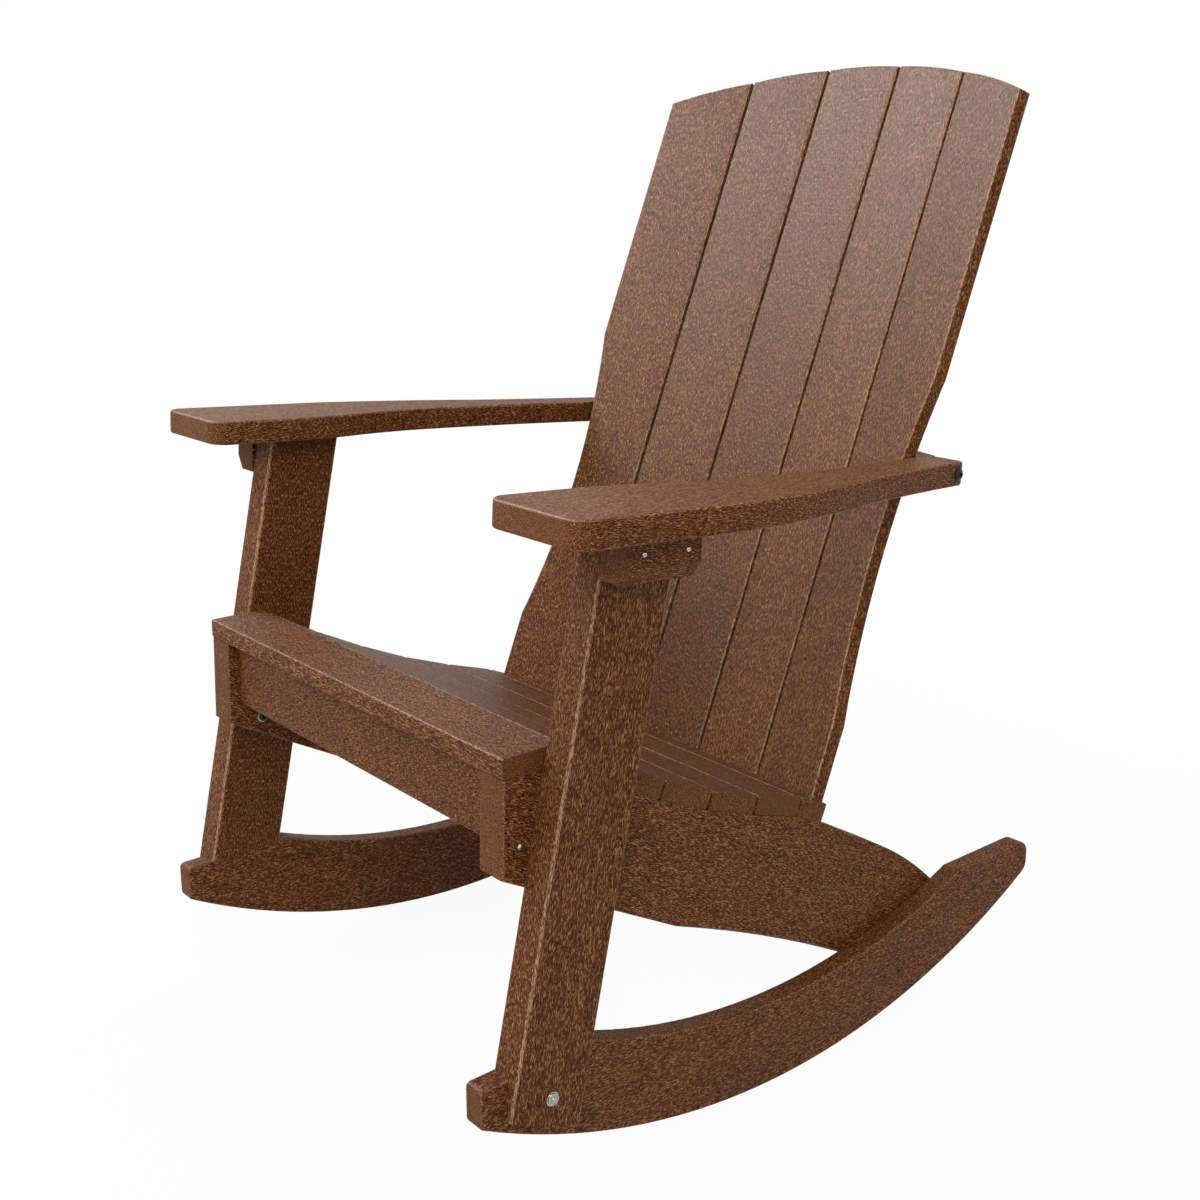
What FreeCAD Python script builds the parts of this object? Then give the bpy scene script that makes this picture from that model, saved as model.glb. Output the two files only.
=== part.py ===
"""Outdoor rocking chair made of poly lumber boards, as a parametric document in millimetres.

Frame: +Z is up, the chair faces -Y and the sitter's left is +X.
The outlines are drawn with Y = 0 at the front edge of the seat and Z = 0 on the floor. Every finished
piece is then moved along Y, so that the origin lies on the floor under the middle of the whole chair.
Pieces of the left side are modelled, and those of the right side are their mirror images.
"""
import FreeCAD, Part
import math
import os
from types import SimpleNamespace

import Sketcher

SHEET = "Dims"

# Driving lengths in millimetres
DIMENSIONS = {
    # Where the sides of the chair stand
    "side_plane": 290.0,          # inner faces of legs and rockers, outer faces of the seat rails
    "fit_gap": 1.0,               # play between board ends and the boards beside them
    "edge_round": 3.0,            # rounding along the edges of most boards
    # Rockers
    "rocker_thick": 25.0,
    "rocker_radius": 864.7,
    "rocker_depth": 97.0,
    "rocker_middle": 378.7,       # where the rocker's arc touches the floor
    "nose_front": -50.5,
    "nose_top": 154.0,
    "nose_top_round": 6.0,
    "nose_low_round": 7.0,
    "tail_rear": 806.0,
    "tail_flat": 141.5,           # length of the flat on top of the tail
    "tail_drop": 1.2,             # how far that flat falls to the rear
    "tail_round": 17.0,
    # Legs
    "leg_thick": 37.5,
    "leg_depth": 90.4,
    "leg_front": -50.95,          # front edge of the leg, drawn down to the floor
    "leg_round": 5.0,
    "foot_rise": 14.5,            # height of the outer skin's end above the rocker's bottom arc
    # Seat rails
    "rail_thick": 38.0,
    "rail_front": 0.5,
    "rail_front_foot": -2.5,      # front of the rail at its lower corner
    "rail_front_low": 341.0,
    "rail_bend_back": 220.0,
    "rail_bend_up": 219.4,
    "rail_low_radius": 2180.0,
    "tail_low_back": 578.0,
    "tail_low_up": 40.0,
    "tail_high_back": 700.0,
    "tail_high_up": 75.0,
    "rail_top_radius": 540.0,
    "rail_straight_back": 545.0,  # where the straight part of the rail's top ends
    "rail_straight_up": 212.4,
    "rail_top_end": 440.0,        # where the rail's top comes out behind the rear seat board
    # Apron
    "apron_front": 13.0,
    "apron_thick": 25.0,
    "apron_low": 362.8,
    # Seat
    "seat_height": 461.0,
    "seat_thick": 21.5,
    "seat_round": 2.5,
    "front_slat_depth": 67.0,
    "seat_start_back": 76.7,      # upper front corner of the second slat
    "seat_start_up": 455.4,
    "slat_pitch": 72.0,
    "slat_gap": 2.0,
    "rear_gap": 2.8,              # play in front of the rear board, whose lower corner turns inward
    "rear_board_side": 43.0,      # depth of the rear board at its ends
    "rear_board_middle": 92.5,    # depth of the rear board in the middle
    # Back
    "back_foot": 303.3,           # where the plane of the back's outer edges meets the floor
    "back_pitch": 116.2,
    "back_gap": 4.0,
    "back_thick": 17.4,
    "back_top": 1212.5,           # height of the top arc, along the back
    "back_top_radius": 690.0,
    "waist_low": 413.5,
    "waist_high": 815.5,
    "waist_depth": 20.3,
    "back_start": 290.0,          # length below the foot cut that is sawn off
    # Arms and their rear crossbar
    "arm_top": 700.8,             # height of the arms' upper plane above the front of the seat
    "arm_thick": 27.3,
    "arm_front": 6.0,
    "arm_rear": 625.0,
    "arm_outer": 393.5,
    "arm_outer_straight": 215.0,
    "arm_bow_back": 437.0,
    "arm_bow_radius": 1290.0,
    "arm_tail_radius": 2300.0,
    "arm_inner": 260.0,
    "arm_inner_straight": 90.0,
    "arm_swell_side": 275.0,
    "arm_swell_back": 205.0,
    "arm_swell_radius": 445.0,
    "arm_crest_side": 290.0,
    "arm_crest_back": 325.0,
    "arm_crest_radius": 490.0,
    "arm_neck_side": 276.0,
    "arm_neck_back": 560.0,
    "arm_neck_radius": 1985.0,
    "arm_corner_inner": 20.0,
    "arm_corner_outer": 21.0,
    "arm_corner_rear": 9.0,
    "arm_round": 3.0,
    "crossbar_rear_side": 627.0,
    "crossbar_rear_middle": 677.0,
    # Arm brackets
    "bracket_thick": 38.0,
    "bracket_front": 88.0,
    "bracket_length": 90.0,
    "bracket_height": 46.0,
    "bracket_bevel_side": 11.0,
    "bracket_bevel_up": 16.5,
    # Upper batten behind the back
    "batten_level": 1000.0,
    "batten_height": 27.0,
    "batten_depth": 32.0,
    "batten_inset": 48.0,         # keeps the batten out of sight from in front
    # Holes
    "hole_play": 0.25,
    "tip_play": 2.0,
    # Fasteners: shank and head radius, head height, length under the head
    "bolt_shank": 3.5,
    "bolt_head": 6.5,
    "bolt_head_high": 4.2,
    "bolt_socket": 3.0,
    "washer_radius": 8.0,
    "washer_thick": 1.4,
    "rocker_bolt_long": 31.0,
    "leg_bolt_long": 66.0,
    "tail_bolt_long": 56.0,
    "arm_bolt_long": 92.0,
    "screw_shank": 2.4,
    "screw_head": 3.0,
    "wood_screw_head": 4.2,
    "screw_head_high": 2.0,
    "bracket_screw_long": 66.0,
    "arm_screw_long": 60.0,
    "apron_screw_long": 62.0,
    "seat_screw_long": 42.0,
    "foot_screw_long": 58.0,
    "back_screw_long": 38.0,
    # Places of the fasteners
    "rocker_bolt_back": 23.4,
    "rocker_bolt_up": 123.4,
    "leg_bolt_low_back": 40.4,
    "leg_bolt_low_up": 340.5,
    "leg_bolt_high_back": 95.0,
    "leg_bolt_high_up": 392.0,
    "tail_bolt_front_back": 560.0,
    "tail_bolt_front_up": 85.0,
    "tail_bolt_rear_back": 640.0,
    "tail_bolt_rear_up": 102.0,
    "bracket_screw_inset": 18.5,
    "bracket_screw_drop": 16.0,
    "arm_screw_inset": 33.0,
    "arm_bolt_inset": 14.0,
    "apron_screw_back": 18.4,
    "apron_screw_up": 370.3,
    "seat_screw_depth": 26.0,
    "seat_screw_lean": 15.0,
    "foot_screw_spread": 14.0,
    "back_screw_spread": 28.0,
    "back_screw_sink": 4.0,
    "arm_bolt_proud": 1.5,        # how far the seat of the arm bolt lies outside the arm's rear corner
    "seat_screw_front": 46.9,     # from the front of the seat to the screws of its first slat
    "crossbar_screw_rise": 8.2,   # height of the screws above the middle of the crossbar
    "spot_depth": 0.6,            # how deep a head's seat is cut where the surface isn't square to the screw
}

# Driving angles in degrees
ANGLES = {
    "leg_lean": 12.13,
    "slope_2": 30.5,              # slopes of the seat boards, down to the rear
    "slope_3": 26.7,
    "slope_4": 23.9,
    "slope_5": 20.0,
    "slope_6": 17.6,
    "slope_rear": 24.2,
    "recline": 21.87,
    "back_turn": 8.1,             # from one back board to the next
    "arm_tilt": 3.43,
}

# Driving shares of another length
SHARES = {
    "arm_tail_share": 0.3702,     # width of the arm's rear end, of the width to its outer edge
    "arm_bow_share": 0.4257,      # place of the change of bend between the rear end and the outer edge
    "end_round_share": 0.45,      # largest rounding of a corner, of the height of the board's end
    "head_rim_share": 0.35,       # straight part of a screw head's height
    "tip_share": 0.5,             # radius of a screw's tip, of its shank's radius
}

# Lengths that follow from others
DERIVED = {
    "tail_top": "rocker_radius - tail_drop - sqrt((rocker_radius - rocker_depth)^2"
                " - (tail_rear - tail_flat - rocker_middle)^2)",
    "arm_tail_side": "arm_neck_side + (arm_outer - arm_neck_side) * arm_tail_share",
    "arm_bow_side": "arm_tail_side + (arm_outer - arm_tail_side) * arm_bow_share",
    "arm_bolt_side": "arm_tail_side + arm_bolt_proud",
}

# How far a shape that only cuts reaches past the boards
CUT_REACH = 500.0

# Names of the seat slats and of the cells with their slopes, from the front
SLOPED_SLATS = [(f"seat_slat_{number}", f"slope_{number}") for number in range(2, 7)]


class Size:
    """A number that remembers the sheet formula it comes from, so that sums of sizes stay parametric."""

    def __init__(self, value, formula=None):
        self.value = float(value)
        self.formula = formula or f"({float(value):.10g})"

    def __add__(self, other):
        other = size(other)
        return Size(self.value + other.value, f"({self.formula} + {other.formula})")

    def __sub__(self, other):
        other = size(other)
        return Size(self.value - other.value, f"({self.formula} - {other.formula})")

    def __mul__(self, other):
        other = size(other)
        return Size(self.value * other.value, f"({self.formula} * {other.formula})")

    def __truediv__(self, other):
        other = size(other)
        return Size(self.value / other.value, f"({self.formula} / {other.formula})")

    def __radd__(self, other):
        return size(other) + self

    def __rsub__(self, other):
        return size(other) - self

    def __rmul__(self, other):
        return size(other) * self

    def __neg__(self):
        return size(0) - self


def size(number):
    """The number as a Size."""
    return number if isinstance(number, Size) else Size(number)


def sine(angle):
    """Sine of an angle in degrees."""
    return Size(math.sin(math.radians(angle.value)), f"sin({angle.formula} * 1 deg)")


def cosine(angle):
    """Cosine of an angle in degrees."""
    return Size(math.cos(math.radians(angle.value)), f"cos({angle.formula} * 1 deg)")


def tangent(angle):
    """Tangent of an angle in degrees."""
    return sine(angle) / cosine(angle)


def root(number):
    """Square root."""
    return Size(math.sqrt(number.value), f"sqrt({number.formula})")


def smaller(first, second):
    """The smaller of two sizes."""
    return Size(min(first.value, second.value), f"min({first.formula}; {second.formula})")


def make_sheet(doc):
    """Fill the spreadsheet and give its cells back as Sizes."""
    sheet = doc.addObject("Spreadsheet::Sheet", SHEET)
    cells = {**DIMENSIONS, **ANGLES, **SHARES, **{name: f"={formula}" for name, formula in DERIVED.items()}}
    for row, (name, value) in enumerate(cells.items(), start=1):
        sheet.set(f"A{row}", name)
        sheet.set(f"B{row}", str(value))
        sheet.setAlias(f"B{row}", name)
    doc.recompute()
    return SimpleNamespace(**{name: Size(sheet.get(name), f"{SHEET}.{name}") for name in cells})


DOC = FreeCAD.newDocument("RockingChair")
dim = make_sheet(DOC)


def bind(thing, prop, value):
    """Tie a property to the sheet."""
    thing.setExpression(prop, size(value).formula)


def vector(across, back, up):
    """A point or direction from three sizes."""
    return FreeCAD.Vector(size(across).value, size(back).value, size(up).value)


# Sketches and features

def arc(start, stop, side, radius):
    """Short arc from start to stop, with its centre on the left or the right of the way."""
    chord = stop - start
    across = FreeCAD.Vector(-chord.y, chord.x, 0).normalize()
    reach = math.sqrt(radius ** 2 - (chord.Length / 2) ** 2)
    centre = (start + stop) * 0.5 + across * (reach if side == "left" else -reach)
    first, last = (start, stop) if side == "left" else (stop, start)
    angles = [math.atan2(end.y - centre.y, end.x - centre.x) for end in (first, last)]
    return Part.ArcOfCircle(Part.Circle(centre, FreeCAD.Vector(0, 0, 1), radius), *angles)


def outline(body, plane, corners, offset=(0, 0, 0), turn=0):
    """Closed sketch on an origin plane of its body.

    A corner is (across, up), and the edge to the next corner is straight, or (across, up, side, radius)
    for an arc whose centre is on that side of the way. Every corner is tied to the sheet.
    """
    sketch = body.newObject("Sketcher::SketchObject", f"{body.Name}_outline")
    support = next(feature for feature in body.Origin.OriginFeatures if feature.Role == plane)
    sketch.AttachmentSupport = [(support, "")]
    sketch.MapMode = "FlatFace"
    turn_axis = FreeCAD.Vector(0, 1, 0)
    sketch.AttachmentOffset = FreeCAD.Placement(FreeCAD.Vector(), FreeCAD.Rotation(turn_axis, 0))
    for axis, distance in zip("xyz", offset):
        bind(sketch, f"AttachmentOffset.Base.{axis}", distance)
    bind(sketch, "AttachmentOffset.Rotation.Angle", turn)
    first_end = []
    for corner, following in zip(corners, corners[1:] + corners[:1]):
        start = vector(corner[0], corner[1], 0)
        stop = vector(following[0], following[1], 0)
        if len(corner) == 2:
            sketch.addGeometry(Part.LineSegment(start, stop))
            first_end.append(1)
        else:
            sketch.addGeometry(arc(start, stop, corner[2], corner[3].value))
            first_end.append(1 if corner[2] == "left" else 2)
    for index, corner in enumerate(corners):
        after = (index + 1) % len(corners)
        near = first_end[index]
        sketch.addConstraint(Sketcher.Constraint("Coincident", index, 3 - near, after, first_end[after]))
        for direction, place in (("DistanceX", corner[0]), ("DistanceY", corner[1])):
            rule = Sketcher.Constraint(direction, -1, 1, index, near, size(place).value)
            bind(sketch, f"Constraints[{sketch.addConstraint(rule)}]", place)
        if len(corner) > 2:
            rule = Sketcher.Constraint("Radius", index, corner[3].value)
            bind(sketch, f"Constraints[{sketch.addConstraint(rule)}]", corner[3])
    return sketch


def new_body(name, back=0, up=0, tilt=0):
    """A body whose own frame is turned down to the rear by an angle about X."""
    body = DOC.addObject("PartDesign::Body", f"{name}_body")
    body.Placement = FreeCAD.Placement(FreeCAD.Vector(), FreeCAD.Rotation(FreeCAD.Vector(1, 0, 0), 1))
    bind(body, "Placement.Base.y", back)
    bind(body, "Placement.Base.z", up)
    bind(body, "Placement.Rotation.Angle", -size(tilt))
    return body


def extrude(body, sketch, length, reverse=False, cut=False):
    """Pad, or Pocket, of a sketch over a length, along the sketch's normal or against it."""
    kind = "Pocket" if cut else "Pad"
    feature = body.newObject(f"PartDesign::{kind}", f"{body.Name}_{kind.lower()}")
    feature.Profile = sketch
    feature.Reversed = reverse
    bind(feature, "Length", length)
    DOC.recompute()
    return feature


def round_edges(body, radius, chosen):
    """Fillet on the chosen edges of a body's last feature."""
    base = body.Tip
    names = [f"Edge{index}" for index, edge in enumerate(base.Shape.Edges, start=1) if chosen(edge)]
    if not names:
        raise ValueError(f"{body.Name}: no edge to round")
    fillet = body.newObject("PartDesign::Fillet", f"{body.Name}_rounding")
    fillet.Base = (base, names)
    bind(fillet, "Radius", radius)
    DOC.recompute()
    return fillet


def ends(edge):
    """The two ends of an edge."""
    return edge.Vertexes[0].Point, edge.Vertexes[-1].Point


def along(edge, axis, tolerance=1e-4):
    """Whether an edge is straight and runs along x, y or z."""
    first, last = ends(edge)
    others = [name for name in "xyz" if name != axis]
    return all(abs(getattr(first, name) - getattr(last, name)) < tolerance for name in others)


def beside(edge, axis, *places):
    """Whether both ends of an edge lie at one of the places on an axis."""
    found = [getattr(end, axis) for end in ends(edge)]
    return any(all(abs(at - size(place).value) < 1e-3 for at in found) for place in places)


def near_corner(edge, corner, axes):
    """Whether an edge stands at a corner of the outline, seen along the extrusion."""
    first = ends(edge)[0]
    return all(abs(getattr(first, axis) - size(place).value) < 1e-3 for axis, place in zip(axes, corner))


def joins(edge, first, last, axes="yz"):
    """Whether an edge runs between two corners of the outline, seen along the extrusion."""
    start, stop = ends(edge)

    def at(end, corner):
        return all(abs(getattr(end, axis) - size(place).value) < 1e-3 for axis, place in zip(axes, corner))

    return at(start, first) and at(stop, last) or at(start, last) and at(stop, first)


# Fasteners

def fastener(shank, head, head_high, length, socket=0):
    """Round-headed screw along Z, with its head above Z = 0 and a hexagon socket if one is asked for."""
    rim = head_high * dim.head_rim_share.value
    crown = head_high - rim
    dome_radius = (head ** 2 + crown ** 2) / (2 * crown)
    dome = Part.makeSphere(dome_radius)
    dome.translate(FreeCAD.Vector(0, 0, head_high - dome_radius))
    solid = Part.makeCylinder(head, head_high).common(dome)
    solid = solid.fuse(Part.makeCylinder(shank, length - shank, FreeCAD.Vector(0, 0, shank - length)))
    tip = shank * dim.tip_share.value
    solid = solid.fuse(Part.makeCone(tip, shank, shank, FreeCAD.Vector(0, 0, -length)))
    if socket:
        corners = [FreeCAD.Vector(socket, 0, 0)]
        turn = FreeCAD.Rotation(FreeCAD.Vector(0, 0, 1), 60)
        for _ in range(6):
            corners.append(turn.multVec(corners[-1]))
        key = Part.Face(Part.makePolygon(corners)).extrude(FreeCAD.Vector(0, 0, head_high))
        key.translate(FreeCAD.Vector(0, 0, rim))
        solid = solid.cut(key)
    return solid.removeSplitter().Solids[0]


def washer(radius, bore, thick):
    """Flat washer on Z = 0."""
    return Part.makeCylinder(radius, thick).cut(Part.makeCylinder(bore, thick))


def drill(shank, length, head=0, sink=0):
    """Hole along Z for a fastener, with room above Z = 0 for a sunk head."""
    hole = Part.makeCylinder(shank, length, FreeCAD.Vector(0, 0, -length))
    if head:
        hole = hole.fuse(Part.makeCylinder(head, sink))
    return hole


def group(name, solid, places):
    """Copies of one solid, each with its origin at a point and its Z along a direction."""
    feature = DOC.addObject("Part::Feature", name)
    copies = []
    for point, outward in places:
        copy = solid.copy()
        copy.Placement = FreeCAD.Placement(point, FreeCAD.Rotation(FreeCAD.Vector(0, 0, 1), outward))
        copies.append(copy)
    feature.Shape = Part.makeCompound(copies)
    return feature


def both_sides(places):
    """The places of the left side, and their mirror images."""
    flip = [tuple(FreeCAD.Vector(-end.x, end.y, end.z) for end in place) for place in places]
    return places + flip


def lifted(places, height):
    """The places moved outward, as by a washer's thickness."""
    return [(point + outward * height, outward) for point, outward in places]


PIECES = {}


def keep(name, thing):
    """Name a finished piece. The name is also its file's name."""
    thing.Label = name
    PIECES[name] = thing
    return thing


def drilled(name, body, holes):
    """A finished board: its body without the holes of its fasteners."""
    tool = holes[0]
    if len(holes) > 1:
        tool = DOC.addObject("Part::Compound", f"{name}_holes")
        tool.Links = holes
    board = DOC.addObject("Part::Cut", name)
    board.Base = body
    board.Tool = tool
    return keep(name, board)


def mirrored(name, left):
    """The right side's copy of a left piece."""
    copy = DOC.addObject("Part::Mirroring", name)
    copy.Source = left
    copy.Base = FreeCAD.Vector()
    copy.Normal = FreeCAD.Vector(1, 0, 0)
    return keep(name, copy)


# Lines that several boards share

LEAN = tangent(dim.leg_lean)
ARM_SLOPE = tangent(dim.arm_tilt)
LEG_REAR = dim.leg_front + dim.leg_depth / cosine(dim.leg_lean)
LEG_OUTER = dim.side_plane + dim.leg_thick
RAIL_INNER = dim.side_plane - dim.rail_thick
SEAT_HALF = dim.side_plane - dim.fit_gap
SLAT_UNDER = dim.seat_height - dim.seat_thick
ARM_UNDER = dim.arm_top - dim.arm_thick / cosine(dim.arm_tilt)


def rocker_arc(back, radius):
    """Height of an arc round the rocker's centre, at a distance from the front."""
    return dim.rocker_radius - root(radius * radius - (back - dim.rocker_middle) * (back - dim.rocker_middle))


def leg_meets_arc(edge, radius):
    """Where a leg edge, given at the floor, crosses an arc round the rocker's centre."""
    reach = edge - dim.rocker_middle
    steep = LEAN * LEAN + 1
    half = LEAN * reach - dim.rocker_radius
    rest = reach * reach + dim.rocker_radius * dim.rocker_radius - radius * radius
    up = (-half - root(half * half - steep * rest)) / steep
    return edge + LEAN * up, up


def leg_meets_arm(edge):
    """Where a leg edge, given at the floor, meets the arm's underside."""
    up = (ARM_UNDER - ARM_SLOPE * edge) / (ARM_SLOPE * LEAN + 1)
    return edge + LEAN * up, up


def seat_line():
    """Upper front corners and slopes of the sloped seat boards, the rear board included."""
    back, up = dim.seat_start_back, dim.seat_start_up
    boards = []
    for name, slope_name in SLOPED_SLATS:
        slope = getattr(dim, slope_name)
        boards.append((name, back, up, slope))
        back = back + dim.slat_pitch * cosine(slope)
        up = up - dim.slat_pitch * sine(slope)
    boards.append(("rear_seat_board", back, up, dim.slope_rear))
    return boards


SEAT_BOARDS = seat_line()


def under_joint(board, following):
    """Where the undersides of two neighbouring seat boards meet."""
    _, back, up, slope = following
    middle = (board[3] + slope) * 0.5
    drop = dim.seat_thick / cosine((board[3] - slope) * 0.5)
    return back - drop * sine(middle), up - drop * cosine(middle)


def panel_angle(number):
    """Turn of a back board about the slope: 0 for the middle, 1 inner, 2 outer."""
    return dim.back_turn * number


def seam(number):
    """Side distance and depth of a line between back boards, counted from the middle board's edge."""
    side, depth = dim.back_pitch * 0.5, dim.back_pitch * (sine(panel_angle(1)) + sine(panel_angle(2)))
    for step in range(1, number):
        side = side + dim.back_pitch * cosine(panel_angle(step))
        depth = depth - dim.back_pitch * sine(panel_angle(step))
    return side, depth


def rear_seam(number):
    """The same line on the boards' rear faces."""
    side, depth = seam(number)
    between = dim.back_turn * (number - 0.5)
    reach = dim.back_thick / cosine(dim.back_turn * 0.5)
    return side + reach * sine(between), depth + reach * cosine(between)


def rear_face(distance):
    """Point on the outer board's rear face, at a distance from its inner seam."""
    side, depth = seam(2)
    angle = panel_angle(2)
    return (side + distance * cosine(angle) + dim.back_thick * sine(angle),
            depth - distance * sine(angle) + dim.back_thick * cosine(angle))


def arc_radius(half_chord, rise):
    """Radius of an arc from half its chord and its rise."""
    return (half_chord * half_chord + rise * rise) / (rise * 2)


BACK_FRAME = FreeCAD.Placement(
    vector(0, dim.back_foot, 0), FreeCAD.Rotation(FreeCAD.Vector(1, 0, 0), -dim.recline.value))
ARM_FRAME = FreeCAD.Placement(
    vector(0, 0, dim.arm_top), FreeCAD.Rotation(FreeCAD.Vector(1, 0, 0), -dim.arm_tilt.value))
ACROSS = FreeCAD.Vector(1, 0, 0)


# Places of the fasteners: a point under the head and the direction that the head faces

def rocker_bolt_places():
    """Through the outer skin of each leg's foot into the rocker."""
    return both_sides([(vector(LEG_OUTER, dim.rocker_bolt_back, dim.rocker_bolt_up), ACROSS)])


def leg_bolt_places():
    """From inside each seat rail into the leg."""
    low = vector(RAIL_INNER, dim.leg_bolt_low_back, dim.leg_bolt_low_up)
    high = vector(RAIL_INNER, dim.leg_bolt_high_back, dim.leg_bolt_high_up)
    return both_sides([(low, -ACROSS), (high, -ACROSS)])


def tail_bolt_places():
    """From inside each seat rail's tail into the rocker."""
    front = vector(RAIL_INNER, dim.tail_bolt_front_back, dim.tail_bolt_front_up)
    rear = vector(RAIL_INNER, dim.tail_bolt_rear_back, dim.tail_bolt_rear_up)
    return both_sides([(front, -ACROSS), (rear, -ACROSS)])


def bracket_screw_places():
    """Through each arm bracket into the leg."""
    side = LEG_OUTER + dim.bracket_thick
    level = -(dim.arm_thick + dim.bracket_screw_drop)
    rear = dim.bracket_front + dim.bracket_length - dim.bracket_screw_inset
    points = [vector(side, dim.bracket_front + dim.bracket_screw_inset, level), vector(side, rear, level)]
    return both_sides([(ARM_FRAME.multVec(point), ACROSS) for point in points])


def arm_screw_places():
    """From under each arm bracket into the arm."""
    down = ARM_FRAME.Rotation.multVec(FreeCAD.Vector(0, 0, -1))
    side = LEG_OUTER + dim.bracket_thick * 0.5
    level = -(dim.arm_thick + dim.bracket_height)
    rear = dim.bracket_front + dim.bracket_length - dim.arm_screw_inset
    points = [vector(side, dim.bracket_front + dim.arm_screw_inset, level), vector(side, rear, level)]
    return both_sides([(ARM_FRAME.multVec(point), down) for point in points])


def arm_bolt_places():
    """Through each arm's rear end into the crossbar."""
    point = vector(dim.arm_bolt_side, dim.arm_rear - dim.arm_bolt_inset, dim.arm_thick * -0.5)
    return both_sides([(ARM_FRAME.multVec(point), ACROSS)])


def apron_screw_places():
    """Through each seat rail into the apron's end."""
    return both_sides([(vector(dim.side_plane, dim.apron_screw_back, dim.apron_screw_up), ACROSS)])


def seat_screw_places():
    """From the rails' inner faces up into the seat boards, leaning outward."""
    zero = size(0)
    boards = [(zero, dim.seat_height, zero, dim.seat_screw_front)]
    boards += [(back, up, slope, dim.slat_pitch * 0.5) for _, back, up, slope in SEAT_BOARDS[:-1]]
    _, back, up, slope = SEAT_BOARDS[-1]
    boards.append((back, up, slope, dim.rear_board_side * 0.5))
    places = []
    for back, up, slope, middle in boards:
        turn = FreeCAD.Rotation(FreeCAD.Vector(1, 0, 0), -slope.value)
        start = vector(0, middle, -dim.seat_thick - dim.seat_screw_depth)
        start = vector(RAIL_INNER + dim.wood_screw_head, back, up) + turn.multVec(start)
        lean = vector(-sine(dim.seat_screw_lean), 0, -cosine(dim.seat_screw_lean))
        places.append((start, turn.multVec(lean)))
    return both_sides(places)


def foot_screw_places():
    """From under the rear seat board up into the feet of the back boards, two in each."""
    _, board_back, board_up, slope = SEAT_BOARDS[-1]
    under = FreeCAD.Placement(
        vector(0, board_back, board_up), FreeCAD.Rotation(FreeCAD.Vector(1, 0, 0), -slope.value))
    normal = under.Rotation.multVec(FreeCAD.Vector(0, 0, 1))
    surface = under.multVec(vector(0, 0, -dim.seat_thick))
    along_back = BACK_FRAME.Rotation.multVec(FreeCAD.Vector(0, 0, 1))
    places = []
    for side, depth, _ in board_middles(dim.foot_screw_spread, dim.back_thick * 0.5):
        start = BACK_FRAME.multVec(vector(side, depth, 0))
        travel = (surface - start).dot(normal) / along_back.dot(normal) + dim.spot_depth.value
        places.append((start + along_back * travel, -along_back))
    return places


def board_middles(spread, deep, outer_share=1):
    """Two points beside each back board's middle line, at a depth, and the board's rear normal.

    On the outer boards they keep to a share of the width, counted from the inner seam.
    """
    points = []
    for number in (-2, -1, 0, 1, 2):
        angle = panel_angle(abs(number))
        side, depth = seam(abs(number)) if number else (size(0), seam(1)[1])
        for shift in (-spread, spread):
            reach = dim.back_pitch * 0.5 + shift if number else shift
            if abs(number) == 2:
                reach = reach * outer_share
            across = side + reach * cosine(angle) + deep * sine(angle)
            inward = depth - reach * sine(angle) + deep * cosine(angle)
            sign = -1 if number < 0 else 1
            normal = vector(sine(angle) * sign, cosine(angle), 0)
            points.append((across * sign, inward, normal))
    return points


def back_screw_places(level, bar_depth, outer_share=1):
    """From behind a bar into each back board, with sunk heads."""
    places = []
    deep = dim.back_thick + bar_depth
    for side, depth, normal in board_middles(dim.back_screw_spread, deep, outer_share):
        point = BACK_FRAME.multVec(vector(side, depth, level))
        places.append((point, BACK_FRAME.Rotation.multVec(normal)))
    return places


# Boards

def rocker():
    """Curved runner, with a nose in front of the leg and a flat-topped tail."""
    inner = dim.rocker_radius - dim.rocker_depth
    reach = root(inner * inner - (dim.rocker_radius - dim.nose_top) * (dim.rocker_radius - dim.nose_top))
    bend = dim.tail_rear - dim.tail_flat
    nose_low = (dim.nose_front, rocker_arc(dim.nose_front, dim.rocker_radius))
    tail_low = (dim.tail_rear, rocker_arc(dim.tail_rear, dim.rocker_radius))
    tail_high = (dim.tail_rear, dim.tail_top)
    nose_high = (dim.nose_front, dim.nose_top)
    body = new_body("rocker")
    corners = [
        (*nose_low, "left", dim.rocker_radius),
        tail_low,
        tail_high,
        (bend, rocker_arc(bend, inner), "right", inner),
        (dim.rocker_middle - reach, dim.nose_top),
        nose_high,
    ]
    extrude(body, outline(body, "YZ_Plane", corners, offset=(0, 0, dim.side_plane)), dim.rocker_thick)
    tail_round = smaller(dim.tail_round, (dim.tail_top - tail_low[1]) * dim.end_round_share)
    roundings = [
        (nose_high, dim.nose_top_round),
        (nose_low, dim.nose_low_round),
        (tail_low, tail_round),
        (tail_high, tail_round),
    ]
    for corner, radius in roundings:
        round_edges(body, radius, lambda edge: along(edge, "x") and near_corner(edge, corner, "yz"))
    faces = (dim.side_plane, dim.side_plane + dim.rocker_thick)
    round_edges(body, dim.edge_round, lambda edge: beside(edge, "x", *faces))
    return body


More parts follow.
